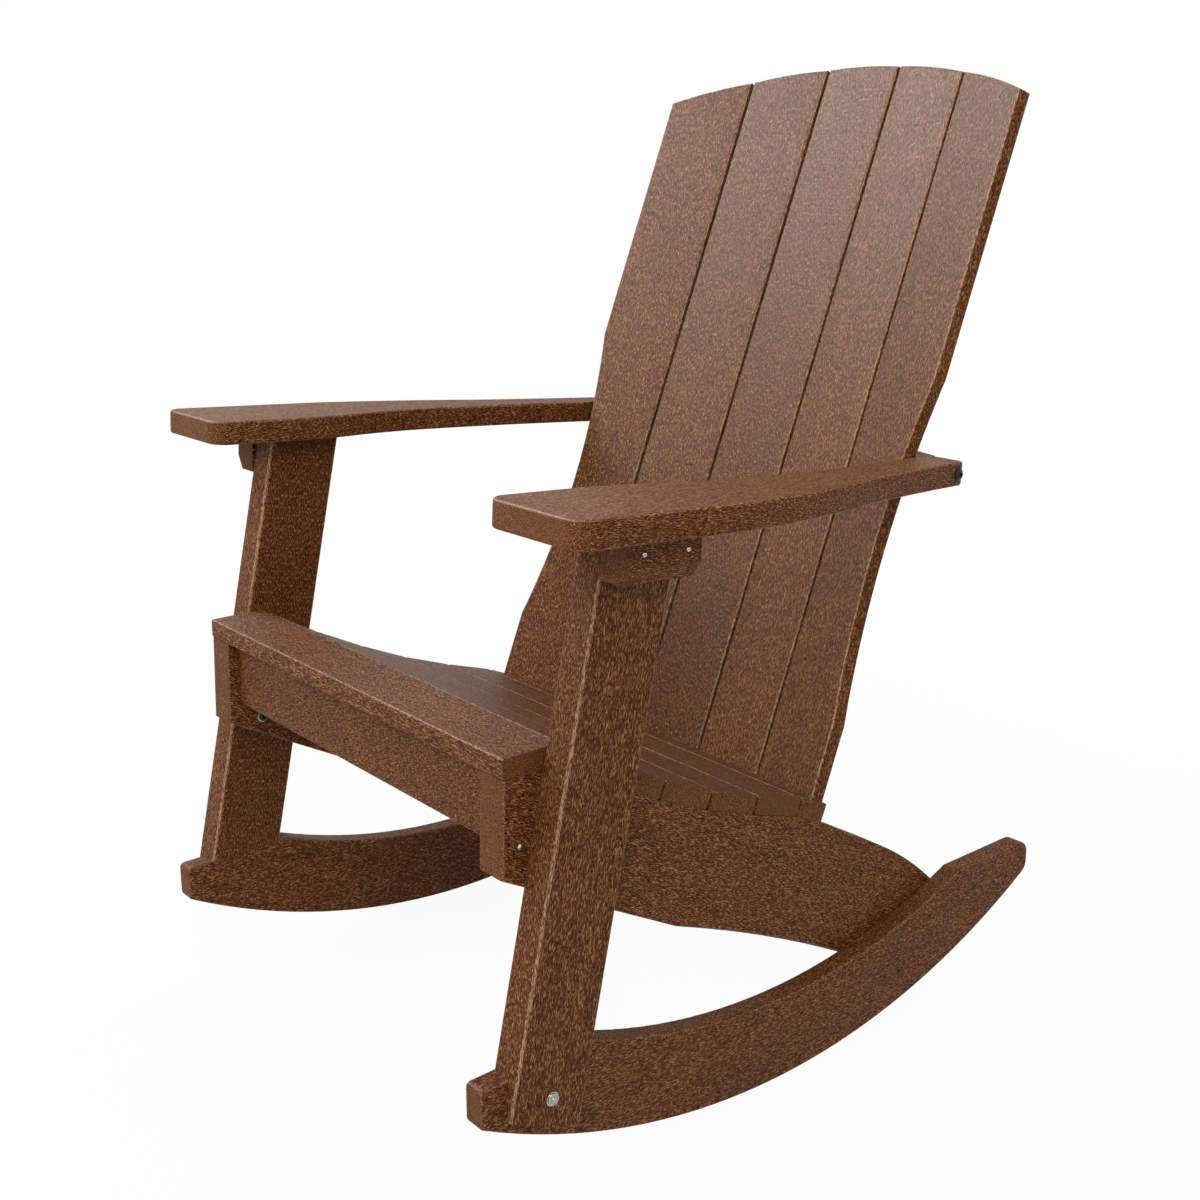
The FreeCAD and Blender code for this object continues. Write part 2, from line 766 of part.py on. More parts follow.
def leg():
    """Raked leg: its inner part stands on the rocker, and a skin runs down over the rocker's outer face."""
    foot = dim.rocker_radius - dim.foot_rise
    body = new_body("leg")
    corners = [
        (*leg_meets_arc(dim.leg_front, foot), "left", foot),
        leg_meets_arc(LEG_REAR, foot),
        leg_meets_arm(LEG_REAR),
        leg_meets_arm(dim.leg_front),
    ]
    extrude(body, outline(body, "YZ_Plane", corners, offset=(0, 0, dim.side_plane)), dim.leg_thick)
    lap = [
        (dim.leg_front - dim.leg_depth, size(0)),
        (LEG_REAR + dim.leg_depth, size(0)),
        (LEG_REAR + dim.leg_depth, dim.nose_top),
        (dim.leg_front - dim.leg_depth, dim.nose_top),
    ]
    sketch = outline(body, "YZ_Plane", lap, offset=(0, 0, dim.side_plane))
    extrude(body, sketch, dim.rocker_thick, reverse=True, cut=True)

    def long_edge(edge):
        return edge.Length > 2 * dim.leg_depth.value and beside(edge, "x", dim.side_plane, LEG_OUTER)

    round_edges(body, dim.leg_round, long_edge)
    return body


def seat_rail():
    """Shaped side rail of the seat, whose tail runs down inside the rocker."""
    under_start = dim.seat_start_back - dim.seat_thick * sine(dim.slope_2)
    under_up = dim.seat_start_up - dim.seat_thick * cosine(dim.slope_2)
    flat_end = under_start + (under_up - SLAT_UNDER) / tangent(dim.slope_2)
    joints = [under_joint(board, following) for board, following in zip(SEAT_BOARDS, SEAT_BOARDS[1:])]
    last_back, last_up = joints[-1]
    top_end = (dim.rail_top_end, last_up - (dim.rail_top_end - last_back) * tangent(dim.slope_rear))
    body = new_body("seat_rail")
    front_low = (dim.rail_front_foot, dim.rail_front_low)
    front_high = (dim.rail_front, SLAT_UNDER)
    bend = (dim.rail_bend_back, dim.rail_bend_up)
    tail_low = (dim.tail_low_back, dim.tail_low_up)
    tail_high = (dim.tail_high_back, dim.tail_high_up)
    corners = [
        front_low,
        (*bend, "right", dim.rail_low_radius),
        tail_low,
        (*tail_high, "left", dim.rail_top_radius),
        (dim.rail_straight_back, dim.rail_straight_up),
        top_end,
        *reversed(joints),
        (flat_end, SLAT_UNDER),
        front_high,
    ]
    extrude(body, outline(body, "YZ_Plane", corners, offset=(0, 0, RAIL_INNER)), dim.rail_thick)

    def free_edge(edge):
        front = joins(edge, front_low, front_high)
        below = joins(edge, front_low, bend) or joins(edge, bend, tail_low)
        return beside(edge, "x", RAIL_INNER, dim.side_plane) and (front or below)

    round_edges(body, dim.edge_round, free_edge)
    return body


def straight_board(name, half_length, depth, thick, rounding, back, up, tilt=0):
    """Board across the chair, with its upper front edge on its own X axis and its long edges rounded."""
    body = new_body(name, back, up, tilt)
    corners = [(size(0), -thick), (depth, -thick), (depth, size(0)), (size(0), size(0))]
    extrude(body, outline(body, "YZ_Plane", corners, offset=(0, 0, -half_length)), half_length * 2)
    round_edges(body, rounding, lambda edge: along(edge, "x"))
    return body


def rear_seat_board():
    """Last seat board, wider in the middle, that carries the back boards."""
    _, back, up, slope = SEAT_BOARDS[-1]
    body = new_body("rear_seat_board", back, up, slope)
    side_end = dim.rear_gap + dim.rear_board_side
    rise = dim.rear_board_middle - dim.rear_board_side
    corners = [
        (-SEAT_HALF, dim.rear_gap),
        (SEAT_HALF, dim.rear_gap),
        (SEAT_HALF, side_end, "left", arc_radius(SEAT_HALF, rise)),
        (-SEAT_HALF, side_end),
    ]
    extrude(body, outline(body, "XY_Plane", corners), dim.seat_thick, reverse=True)
    levels = (size(0), -dim.seat_thick)
    round_edges(body, dim.seat_round,
                lambda edge: beside(edge, "z", *levels) and not beside(edge, "x", SEAT_HALF, -SEAT_HALF))
    return body


def top_of_back(side):
    """Height of the back's top arc, along the slope."""
    radius = dim.back_top_radius
    return dim.back_top - radius + root(radius * radius - side * side)


def back_slat(name, number):
    """One flat board of the back: 0 is the middle one, 1 the inner and 2 the outer one of the left side."""
    body = new_body(name, dim.back_foot, 0, dim.recline)
    angle = panel_angle(number)
    half_gap = dim.back_gap * 0.5
    if number:
        origin_side, origin_depth = seam(number)
        inner = half_gap
        outer = dim.back_pitch - half_gap if number == 1 else dim.back_pitch
    else:
        origin_side, origin_depth = size(0), seam(1)[1]
        inner = half_gap - dim.back_pitch * 0.5
        outer = dim.back_pitch * 0.5 - half_gap
    top_inner = top_of_back(origin_side + inner * cosine(angle))
    top_outer = top_of_back(origin_side + outer * cosine(angle))
    corners = [(inner, dim.back_start), (outer, dim.back_start)]
    if number == 2:
        half = (dim.waist_high - dim.waist_low) * 0.5
        waist_radius = arc_radius(half, dim.waist_depth)
        corners += [(outer, dim.waist_low, "right", waist_radius), (outer, dim.waist_high)]
    corners += [(outer, top_outer, "left", dim.back_top_radius), (inner, top_inner)]
    sketch = outline(body, "XZ_Plane", corners, offset=(origin_side, 0, -origin_depth), turn=-angle)
    extrude(body, sketch, dim.back_thick, reverse=True)
    cut_foot(body)
    foot = foot_line(size(0))

    def face_edge(edge):
        first, last = ends(edge)
        short = (first - last).Length < dim.back_pitch.value / 2
        return not short and max(first.z, last.z) > foot.value + dim.seat_thick.value

    round_edges(body, dim.edge_round, face_edge)
    return body


def foot_line(depth):
    """Height along the back of the rear seat board's upper face, at a depth behind the outer edges."""
    _, back, up, slope = SEAT_BOARDS[-1]
    reach = back - dim.back_foot
    start_up = reach * sine(dim.recline) + up * cosine(dim.recline)
    start_depth = reach * cosine(dim.recline) - up * sine(dim.recline)
    return start_up - tangent(slope - dim.recline) * (depth - start_depth)


def cut_foot(body):
    """Saw a back board's foot to the slope of the rear seat board."""
    near, far = size(-CUT_REACH), size(CUT_REACH)
    corners = [(near, size(0)), (far, size(0)), (far, foot_line(far)), (near, foot_line(near))]
    sketch = outline(body, "YZ_Plane", corners, offset=(0, 0, near))
    extrude(body, sketch, far - near, reverse=True, cut=True)


def back_hollow():
    """Space in front of the back boards' rear faces, as a body to cut the crossbar with."""
    body = new_body("crossbar_hollow", dim.back_foot, 0, dim.recline)
    rear = [rear_face(CUT_REACH), rear_seam(2), rear_seam(1)]
    mirror = [(-side, depth) for side, depth in reversed(rear)]
    front = size(-CUT_REACH)
    corners = [(-rear[0][0], front), (rear[0][0], front), *rear, *mirror]
    sketch = outline(body, "XY_Plane", corners, offset=(0, 0, dim.waist_low))
    extrude(body, sketch, dim.back_top - dim.waist_low)
    return body


def crossbar():
    """Bar between the arms' rear ends, with a flat seat for every back board."""
    body = new_body("back_crossbar", 0, dim.arm_top, dim.arm_tilt)
    front = dim.arm_neck_back
    rise = dim.crossbar_rear_middle - dim.crossbar_rear_side
    corners = [
        (-dim.arm_neck_side, front),
        (dim.arm_neck_side, front),
        (dim.arm_neck_side, dim.crossbar_rear_side, "left", arc_radius(dim.arm_neck_side, rise)),
        (-dim.arm_neck_side, dim.crossbar_rear_side),
    ]
    extrude(body, outline(body, "XY_Plane", corners), dim.arm_thick, reverse=True)
    bar = DOC.addObject("Part::Cut", "back_crossbar_fitted")
    bar.Base = body
    bar.Tool = back_hollow()
    return bar


def batten():
    """Curved batten across the upper back, with a flat seat for every back board."""
    body = new_body("upper_back_batten", dim.back_foot, 0, dim.recline)
    end_side, end_depth = rear_face(dim.back_pitch - dim.batten_inset)
    front = [(end_side, end_depth), rear_seam(2), rear_seam(1)]
    mirror = [(-side, depth) for side, depth in reversed(front)]
    rise = seam(1)[1] + dim.back_thick - end_depth
    rear = end_depth + dim.batten_depth
    corners = [
        *reversed(mirror),
        *reversed(front),
        (end_side, rear, "left", arc_radius(end_side, rise)),
        (-end_side, rear),
    ]
    low = dim.batten_level - dim.batten_height * 0.5
    extrude(body, outline(body, "XY_Plane", corners, offset=(0, 0, low)), dim.batten_height)
    return body


def apron():
    """Board under the front seat slat, between the rails."""
    return straight_board("apron", RAIL_INNER, dim.apron_thick, SLAT_UNDER - dim.apron_low, dim.seat_round,
                          dim.apron_front, SLAT_UNDER)


def arm():
    """Armrest, broad in front and tapering to the rear."""
    body = new_body("arm", 0, dim.arm_top, dim.arm_tilt)
    inner_front = (dim.arm_inner, dim.arm_front)
    outer_front = (dim.arm_outer, dim.arm_front)
    outer_rear = (dim.arm_tail_side, dim.arm_rear)
    bow_start = (dim.arm_outer, dim.arm_outer_straight)
    bow_end = (dim.arm_bow_side, dim.arm_bow_back)
    neck = (dim.arm_neck_side, dim.arm_neck_back)
    corners = [
        inner_front,
        outer_front,
        (*bow_start, "left", dim.arm_bow_radius),
        (*bow_end, "right", dim.arm_tail_radius),
        outer_rear,
        (dim.arm_neck_side, dim.arm_rear),
        (*neck, "right", dim.arm_neck_radius),
        (dim.arm_crest_side, dim.arm_crest_back, "right", dim.arm_crest_radius),
        (dim.arm_swell_side, dim.arm_swell_back, "left", dim.arm_swell_radius),
        (dim.arm_inner, dim.arm_inner_straight),
    ]
    extrude(body, outline(body, "XY_Plane", corners), dim.arm_thick, reverse=True)
    roundings = [
        (inner_front, dim.arm_corner_inner),
        (outer_front, dim.arm_corner_outer),
        (outer_rear, dim.arm_corner_rear),
    ]
    for corner, radius in roundings:
        round_edges(body, radius, lambda edge: along(edge, "z") and near_corner(edge, corner, "xy"))

    def free_edge(edge):
        level = beside(edge, "z", 0, -dim.arm_thick)
        return level and not beside(edge, "y", dim.arm_rear) and not beside(edge, "x", dim.arm_neck_side)

    round_edges(body, dim.arm_round, free_edge)
    return body


def bracket():
    """Block beside the leg that carries the arm, with a bevelled lower edge."""
    body = new_body("arm_bracket", 0, dim.arm_top, dim.arm_tilt)
    outer = LEG_OUTER + dim.bracket_thick
    low = -(dim.arm_thick + dim.bracket_height)
    corners = [
        (LEG_OUTER, low),
        (outer - dim.bracket_bevel_side, low),
        (outer, low + dim.bracket_bevel_up),
        (outer, -dim.arm_thick),
        (LEG_OUTER, -dim.arm_thick),
    ]
    sketch = outline(body, "XZ_Plane", corners, offset=(0, 0, -dim.bracket_front))
    extrude(body, sketch, dim.bracket_length, reverse=True)
    round_edges(body, dim.edge_round,
                lambda edge: not beside(edge, "x", LEG_OUTER) and not beside(edge, "z", -dim.arm_thick))
    return body


# Assembly

def hardware(name, places, head, head_high, shank, length, washers=False, sink=None, socket=0):
    """A group of fasteners with their washers, and the holes that they need, with room for sunk heads."""
    seats = lifted(places, dim.washer_thick.value) if washers else places
    solid = fastener(shank.value, head.value, head_high.value, length.value, size(socket).value)
    keep(name, group(name, solid, seats))
    if washers:
        ring = washer(dim.washer_radius.value, shank.value, dim.washer_thick.value)
        title = f"{name[:-1]}_washers"
        keep(title, group(title, ring, places))
    play = dim.hole_play.value
    if sink is None:
        hole = drill(shank.value + play, length.value + dim.tip_play.value)
    else:
        widest = dim.washer_radius if washers else head
        hole = drill(shank.value + play, length.value + dim.tip_play.value, widest.value + play, sink.value)
    return group(f"{name}_holes", hole, places)


def bolts(name, places, length, socket=0, sink=None):
    """Dome-headed lag bolts with washers."""
    head = (dim.bolt_head, dim.bolt_head_high)
    return hardware(name, places, *head, dim.bolt_shank, length, True, sink, socket)


def screws(name, places, length, head, sink=None):
    """Round-headed wood screws, with sunk heads if a depth is given."""
    return hardware(name, places, head, dim.screw_head_high, dim.screw_shank, length, False, sink)


def build_chair():
    """Make every piece."""
    rocker_bolts = bolts("rocker_bolts", rocker_bolt_places(), dim.rocker_bolt_long)
    leg_bolts = bolts("leg_bolts", leg_bolt_places(), dim.leg_bolt_long, dim.bolt_socket)
    tail_bolts = bolts("rail_tail_bolts", tail_bolt_places(), dim.tail_bolt_long, dim.bolt_socket)
    arm_bolts = bolts("arm_bolts", arm_bolt_places(), dim.arm_bolt_long, dim.bolt_socket,
                      dim.washer_radius)
    bracket_screws = screws("bracket_screws", bracket_screw_places(), dim.bracket_screw_long, dim.screw_head)
    arm_screws = screws("arm_screws", arm_screw_places(), dim.arm_screw_long, dim.wood_screw_head)
    apron_screws = screws("apron_screws", apron_screw_places(), dim.apron_screw_long, dim.wood_screw_head)
    seat_screws = screws("seat_screws", seat_screw_places(), dim.seat_screw_long, dim.wood_screw_head,
                         dim.seat_screw_depth)
    foot_screws = screws("back_foot_screws", foot_screw_places(), dim.foot_screw_long, dim.wood_screw_head,
                         dim.screw_head_high)
    head_depth = dim.batten_depth - dim.back_screw_sink
    bar_level = (dim.arm_top - dim.arm_rear * ARM_SLOPE - dim.arm_thick * 0.5) / cosine(dim.recline)
    bar_places = back_screw_places(bar_level + dim.crossbar_screw_rise, head_depth)
    crossbar_screws = screws("crossbar_screws", bar_places, dim.back_screw_long, dim.wood_screw_head,
                             dim.arm_thick)
    batten_share = (dim.back_pitch - dim.batten_inset) / dim.back_pitch
    batten_places = back_screw_places(dim.batten_level, head_depth, batten_share)
    batten_screws = screws("batten_screws", batten_places, dim.back_screw_long, dim.wood_screw_head,
                           dim.batten_depth)
    back_holes = [foot_screws, crossbar_screws, batten_screws]

    left = [
        drilled("rocker_left", rocker(), [rocker_bolts, tail_bolts]),
        drilled("leg_left", leg(), [rocker_bolts, leg_bolts, bracket_screws]),
        drilled("seat_rail_left", seat_rail(), [leg_bolts, tail_bolts, apron_screws, seat_screws]),
        drilled("arm_left", arm(), [arm_bolts, arm_screws]),
        drilled("arm_bracket_left", bracket(), [bracket_screws, arm_screws]),
        drilled("back_slat_inner_left", back_slat("back_slat_inner", 1), back_holes),
        drilled("back_slat_outer_left", back_slat("back_slat_outer", 2), back_holes),
    ]
    for piece in left:
        mirrored(piece.Label.replace("_left", "_right"), piece)
    drilled("back_slat_centre", back_slat("back_slat_centre", 0), back_holes)
    drilled("apron", apron(), [apron_screws])
    front = straight_board("seat_slat_1", SEAT_HALF, dim.front_slat_depth, dim.seat_thick, dim.seat_round,
                           0, dim.seat_height)
    drilled("seat_slat_1", front, [seat_screws])
    for name, back, up, slope in SEAT_BOARDS[:-1]:
        shift = dim.slat_gap * 0.5
        body = straight_board(name, SEAT_HALF, dim.slat_pitch - dim.slat_gap, dim.seat_thick, dim.seat_round,
                              back + shift * cosine(slope), up - shift * sine(slope), slope)
        drilled(name, body, [seat_screws])
    drilled("rear_seat_board", rear_seat_board(), [seat_screws, foot_screws])
    drilled("back_crossbar", crossbar(), [arm_bolts, crossbar_screws])
    drilled("upper_back_batten", batten(), [batten_screws])


def centre_chair():
    """Move every piece along Y, so that the origin is under the middle of the chair."""
    DOC.recompute()
    boxes = [piece.Shape.optimalBoundingBox(False, False) for piece in PIECES.values()]
    middle = (min(box.YMin for box in boxes) + max(box.YMax for box in boxes)) / 2
    row = len(vars(dim)) + 1
    sheet = DOC.getObject(SHEET)
    sheet.set(f"A{row}", "frame_back")
    sheet.set(f"B{row}", str(middle))
    sheet.setAlias(f"B{row}", "frame_back")
    for piece in PIECES.values():
        if piece.TypeId != "Part::Mirroring":
            piece.setExpression("Placement.Base.y", f"-{SHEET}.frame_back")
    DOC.recompute()
    return middle


def check_document():
    """Stop if a feature failed or a piece isn't a valid solid."""
    for thing in DOC.Objects:
        if "Invalid" in thing.State or "Error" in thing.State:
            raise RuntimeError(f"{thing.Label}: {thing.State}")
    for name, piece in PIECES.items():
        shape = piece.Shape
        if shape.isNull() or not shape.isValid() or not shape.Solids:
            raise RuntimeError(f"{name}: no valid solid")


def export_pieces():
    """Write one file for each piece."""
    os.makedirs("parts", exist_ok=True)
    for name, piece in PIECES.items():
        piece.Shape.exportStep(f"parts/{name}.step")


build_chair()
shift = centre_chair()
check_document()
export_pieces()
print(f"{len(PIECES)} pieces, moved {-shift:.3f} mm along Y")
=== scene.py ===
"""Outdoor rocking chair in brown poly lumber: boards, fasteners and a small photo studio."""

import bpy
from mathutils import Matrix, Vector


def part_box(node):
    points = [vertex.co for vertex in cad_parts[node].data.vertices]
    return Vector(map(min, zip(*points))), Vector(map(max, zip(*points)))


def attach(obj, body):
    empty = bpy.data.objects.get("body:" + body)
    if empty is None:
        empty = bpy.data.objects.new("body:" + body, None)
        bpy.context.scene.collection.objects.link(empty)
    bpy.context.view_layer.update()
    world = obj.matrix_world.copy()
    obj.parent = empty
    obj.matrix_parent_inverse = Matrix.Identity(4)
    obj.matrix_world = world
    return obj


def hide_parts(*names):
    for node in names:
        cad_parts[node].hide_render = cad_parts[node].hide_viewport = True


bl_info = {
    "name": "Outdoor Rocking Chair",
    "version": (1, 0, 0),
    "blender": (4, 5, 0),
    "location": "View3D > Sidebar > Rocking Chair",
    "description": "Finishes the boards and models the fasteners of a poly lumber rocking chair",
    "category": "Object",
}

import math
from typing import NamedTuple
import bpy
from bpy.props import FloatProperty, FloatVectorProperty, IntProperty, PointerProperty
from mathutils import Matrix, Vector

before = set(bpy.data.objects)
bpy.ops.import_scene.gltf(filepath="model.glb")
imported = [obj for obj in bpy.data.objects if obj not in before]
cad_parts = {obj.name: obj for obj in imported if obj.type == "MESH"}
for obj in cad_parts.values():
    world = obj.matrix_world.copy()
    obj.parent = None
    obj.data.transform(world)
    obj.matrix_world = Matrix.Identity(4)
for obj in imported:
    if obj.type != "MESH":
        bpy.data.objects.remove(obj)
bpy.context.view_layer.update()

LEFT = Vector((1, 0, 0))
RIGHT = Vector((-1, 0, 0))

# Slopes of the boards in degrees: how far the grain rises from straight back
LEVEL = 0.0
LEG_RISE = 77.87
BACK_RISE = 68.13
ARM_RISE = -3.43
RAIL_RISE = -27.1

# Each board with the way its grain runs: None for across the chair, or its rise from straight back
BOARDS = {
    "rocker_left": LEVEL,
    "rocker_right": LEVEL,
    "leg_left": LEG_RISE,
    "leg_right": LEG_RISE,
    "seat_rail_left": RAIL_RISE,
    "seat_rail_right": RAIL_RISE,
    "arm_left": ARM_RISE,
    "arm_right": ARM_RISE,
    "arm_bracket_left": ARM_RISE,
    "arm_bracket_right": ARM_RISE,
    "back_slat_outer_left": BACK_RISE,
    "back_slat_inner_left": BACK_RISE,
    "back_slat_centre": BACK_RISE,
    "back_slat_inner_right": BACK_RISE,
    "back_slat_outer_right": BACK_RISE,
    "apron": None,
    "seat_slat_1": None,
    "seat_slat_2": None,
    "seat_slat_3": None,
    "seat_slat_4": None,
    "seat_slat_5": None,
    "seat_slat_6": None,
    "rear_seat_board": None,
    "back_crossbar": None,
    "upper_back_batten": None,
}
HIDDEN_SCREWS = ("arm_screws", "seat_screws", "back_foot_screws", "crossbar_screws", "batten_screws")

# Noises of the grain: shifts that keep them apart, and marks per metre along, across and through a board
LIGHT_SHIFT = (3.1, 7.7, 1.9)
DARK_SHIFT = (41.3, 13.5, 27.1)
BAND_SHIFT = (5.3, 2.7, 8.1)
CLOUD_SHIFT = (11.9, 4.1, 6.3)
BAND_SCALE = (9.0, 170.0, 170.0)
CLOUD_SCALE = (10.0, 28.0, 28.0)
STREAK_DETAIL = 1.0
CLOUD_DETAIL = 2.0

# Noise levels between which pores and streaks fade in
PORE_FADE = (0.52, 0.60)
STREAK_FADE = (0.58, 0.64)

# Pale rounded edges, partly rubbed and partly a painted highlight: they rise and fall with how squarely the
# surface looks the way of the board's wide faces
WEAR_AND_HIGHLIGHT_RISE = (0.25, 0.62)
WEAR_AND_HIGHLIGHT_FALL = (0.99, 0.80)
SPECKLE_FADE = (0.40, 0.60)
SPECKLE_LEVELS = (0.12, 1.0)

# Slow changes of brightness and roughness over a board
SLOW_FADE = (0.25, 0.75)
BAND_LEVELS = (0.93, 1.07)
CLOUD_LEVELS = (0.95, 1.05)
ROUGHNESS_FADE = (0.3, 0.7)
SMOOTHER = 0.08
ROUGHER = 0.10

# Each board has its own stretch of the pattern and its own slight change of tone
BOARD_STRIDE = (0.37, 0.83, 1.29)
TONE_SPREAD = 0.03
TONE_TURN = 2.4
BOARD_IOR = 1.5

# Metals: marks and grain per metre, with their shifts, and how marks and the painted shade in corners fade in
MARK_SCALE = (450.0, 450.0, 450.0)
MARK_SHIFT = (2.3, 4.7, 9.1)
MARK_DETAIL = 3.0
MARK_FADE = (0.45, 0.75)
FINE_SCALE = (3000.0, 3000.0, 3000.0)
FINE_SHIFT = (8.3, 1.7, 3.9)
FINE_DETAIL = 1.0
METAL_ROUGHER = 0.15
# Dark colour of the painted shade in the metals' corners
CORNER_SHADE = (0.012, 0.010, 0.008)
CORNER_SHADE_FADE = (0.9, 0.6)
CORNER_SHADE_SAMPLES = 6

# Fasteners: shares of the shank's radius for the tip, and of the head's radius and height for the rest
TIP_RADIUS = 0.15
TIP_LENGTH = 2.2
DOME_RIM = 0.35
DOME_RINGS = (0.93, 0.84, 0.72, 0.58, 0.42, 0.22)
FLAT_HEAD = 0.5
FLAT_RINGS = ((0.55, 1.0), (0.85, 0.96), (1.0, 0.88), (0.93, 0.7))
BUTTON_FOOT = (0.95, 1.15)
BUTTON_ANGLES = (20, 38, 55, 70, 84)
SOCKET_MIDDLE = 0.85
SLOT_LENGTH = 3.0
SLOT_WIDTH = 0.3
SLOT_DEPTH = 1.5
HOLE_CLEARANCE = 1.08

# Bevels in metres, on edges sharper than the angle
SOFT_ANGLE = math.radians(35)
BUTTON_BOLT_BEVEL = 0.00015
SOCKET_BOLT_BEVEL = 0.00022
SCREW_BEVEL = 0.00012
WASHER_BEVEL = 0.0003

# Floor: its paint, and the share of white that it has near the chair and far away, in metres
FLOOR_PAINT = (0.7, 0.7, 0.7)
FLOOR_SIDES = 128
FLOOR_DROP = -0.0005
WHITE = (1.0, 1.0, 1.0)
WHITE_REACH = (0.6, 2.2)
WHITE_SHARE = (0.94, 1.0)

CAMERA_PLACE = (1.3452, -1.15609, 0.9877)
CAMERA_TURN = (math.radians(76.31), 0.0, math.radians(49.88))
CAMERA_ROLL = math.radians(-0.06)
SENSOR_WIDTH = 36.0


class Metal(NamedTuple):
    """Look of a metal, with the depth of its grain and the reach of its painted corner shade in metres."""

    name: str
    colour: tuple
    worn_colour: tuple
    roughness: float
    grain: float = 0.00001
    metallic: float = 1.0
    gloss: float = 0.5
    corner_shade_reach: float = 0.0016


class Softbox(NamedTuple):
    """A softbox: its place, the point it faces, its size, and whether it shows in gloss and lights matt."""

    name: str
    place: tuple
    target: tuple
    size: tuple
    in_gloss: bool = True
    on_matt: bool = True


# Stainless steel of the screws and the rocker washers, the duller rocker bolts, the zinc washers
# inside the rails, and the black coated long bolts
BRIGHT_STEEL = Metal("Bright steel", (0.60, 0.60, 0.58), (0.40, 0.40, 0.38), roughness=0.14)
AGED_STEEL = Metal("Aged steel", (0.38, 0.38, 0.32), (0.24, 0.25, 0.19), roughness=0.15, corner_shade_reach=0.003)
ZINC = Metal("Zinc washer", (0.52, 0.53, 0.52), (0.36, 0.37, 0.36), roughness=0.34, grain=0.00002)
BLACK_STEEL = Metal(
    "Black steel", (0.008, 0.008, 0.009), (0.022, 0.021, 0.020), roughness=0.22, metallic=0.0, gloss=0.22)

SOFTBOXES = (
    Softbox("overhead", (0.5, -0.9, 2.2), (0.2, -0.2, 0.6), (1.4, 1.4)),
    Softbox("left", (-1.6, -2.6, 1.9), (0.0, 0.0, 0.7), (1.0, 1.0), in_gloss=False),
    Softbox("front", (3.0, -2.8, 3.1), (0.0, 0.0, 0.5), (1.5, 1.5)),
    Softbox("rear", (-0.8, 2.9, 2.3), (0.0, 0.0, 0.7), (1.4, 1.4), in_gloss=False),
    Softbox("sheen", (-2.0, -1.4, 2.95), (0.0, 0.2, 0.85), (3.4, 0.9), on_matt=False),
)


class BoardFinish(bpy.types.PropertyGroup):
    """Colours and grain of the poly lumber."""

    board_colour: FloatVectorProperty(
        name="Board colour", description="Brown between the streaks",
        subtype="COLOR", size=3, min=0.0, max=1.0, default=(0.088, 0.0255, 0.0050))
    light_streak_colour: FloatVectorProperty(
        name="Light streaks", description="Tan of the short light streaks",
        subtype="COLOR", size=3, min=0.0, max=1.0, default=(0.38, 0.176, 0.068))
    dark_streak_colour: FloatVectorProperty(
        name="Dark streaks", description="Brown of the pores between the streaks",
        subtype="COLOR", size=3, min=0.0, max=1.0, default=(0.012, 0.003, 0.0004))
    # Pale edge tone: partly rubbed edges, partly a painted highlight where the rounded edges would catch the
    # light
    edge_wear_and_highlight_colour: FloatVectorProperty(
        name="Edge colour", description="Pale tone of the worn, rounded edges",
        subtype="COLOR", size=3, min=0.0, max=1.0, default=(0.46, 0.29, 0.18))
    streak_length: FloatProperty(
        name="Streak length", description="Length of a streak along the board",
        subtype="DISTANCE", unit="LENGTH", min=0.001, default=0.0046)
    streak_width: FloatProperty(
        name="Streak width", description="Width of a streak across the board",
        subtype="DISTANCE", unit="LENGTH", min=0.0002, default=0.0006)
    relief: FloatProperty(
        name="Grain relief", description="Depth of the embossed grain",
        subtype="DISTANCE", unit="LENGTH", min=0.0, default=0.00014)
    roughness: FloatProperty(
        name="Roughness", description="Middle roughness of the boards",
        subtype="FACTOR", min=0.0, max=1.0, default=0.52)
    gloss_level: FloatProperty(
        name="Gloss level", description="Strength of the boards' reflections",
        subtype="FACTOR", min=0.0, max=1.0, default=0.08)
    # These strengths set the pale edge tone, partly rubbing and partly a painted highlight
    leg_wear: FloatProperty(
        name="Leg wear", description="Strength of the pale tone on the legs' rounded edges",
        subtype="FACTOR", min=0.0, max=1.0, default=0.8)
    back_wear: FloatProperty(
        name="Back wear", description="Strength of the pale tone on the back boards' rounded edges",
        subtype="FACTOR", min=0.0, max=1.0, default=0.8)
    other_wear_and_highlight: FloatProperty(
        name="Other wear", description="Strength of the pale tone on the other boards' rounded edges",
        subtype="FACTOR", min=0.0, max=1.0, default=0.22)


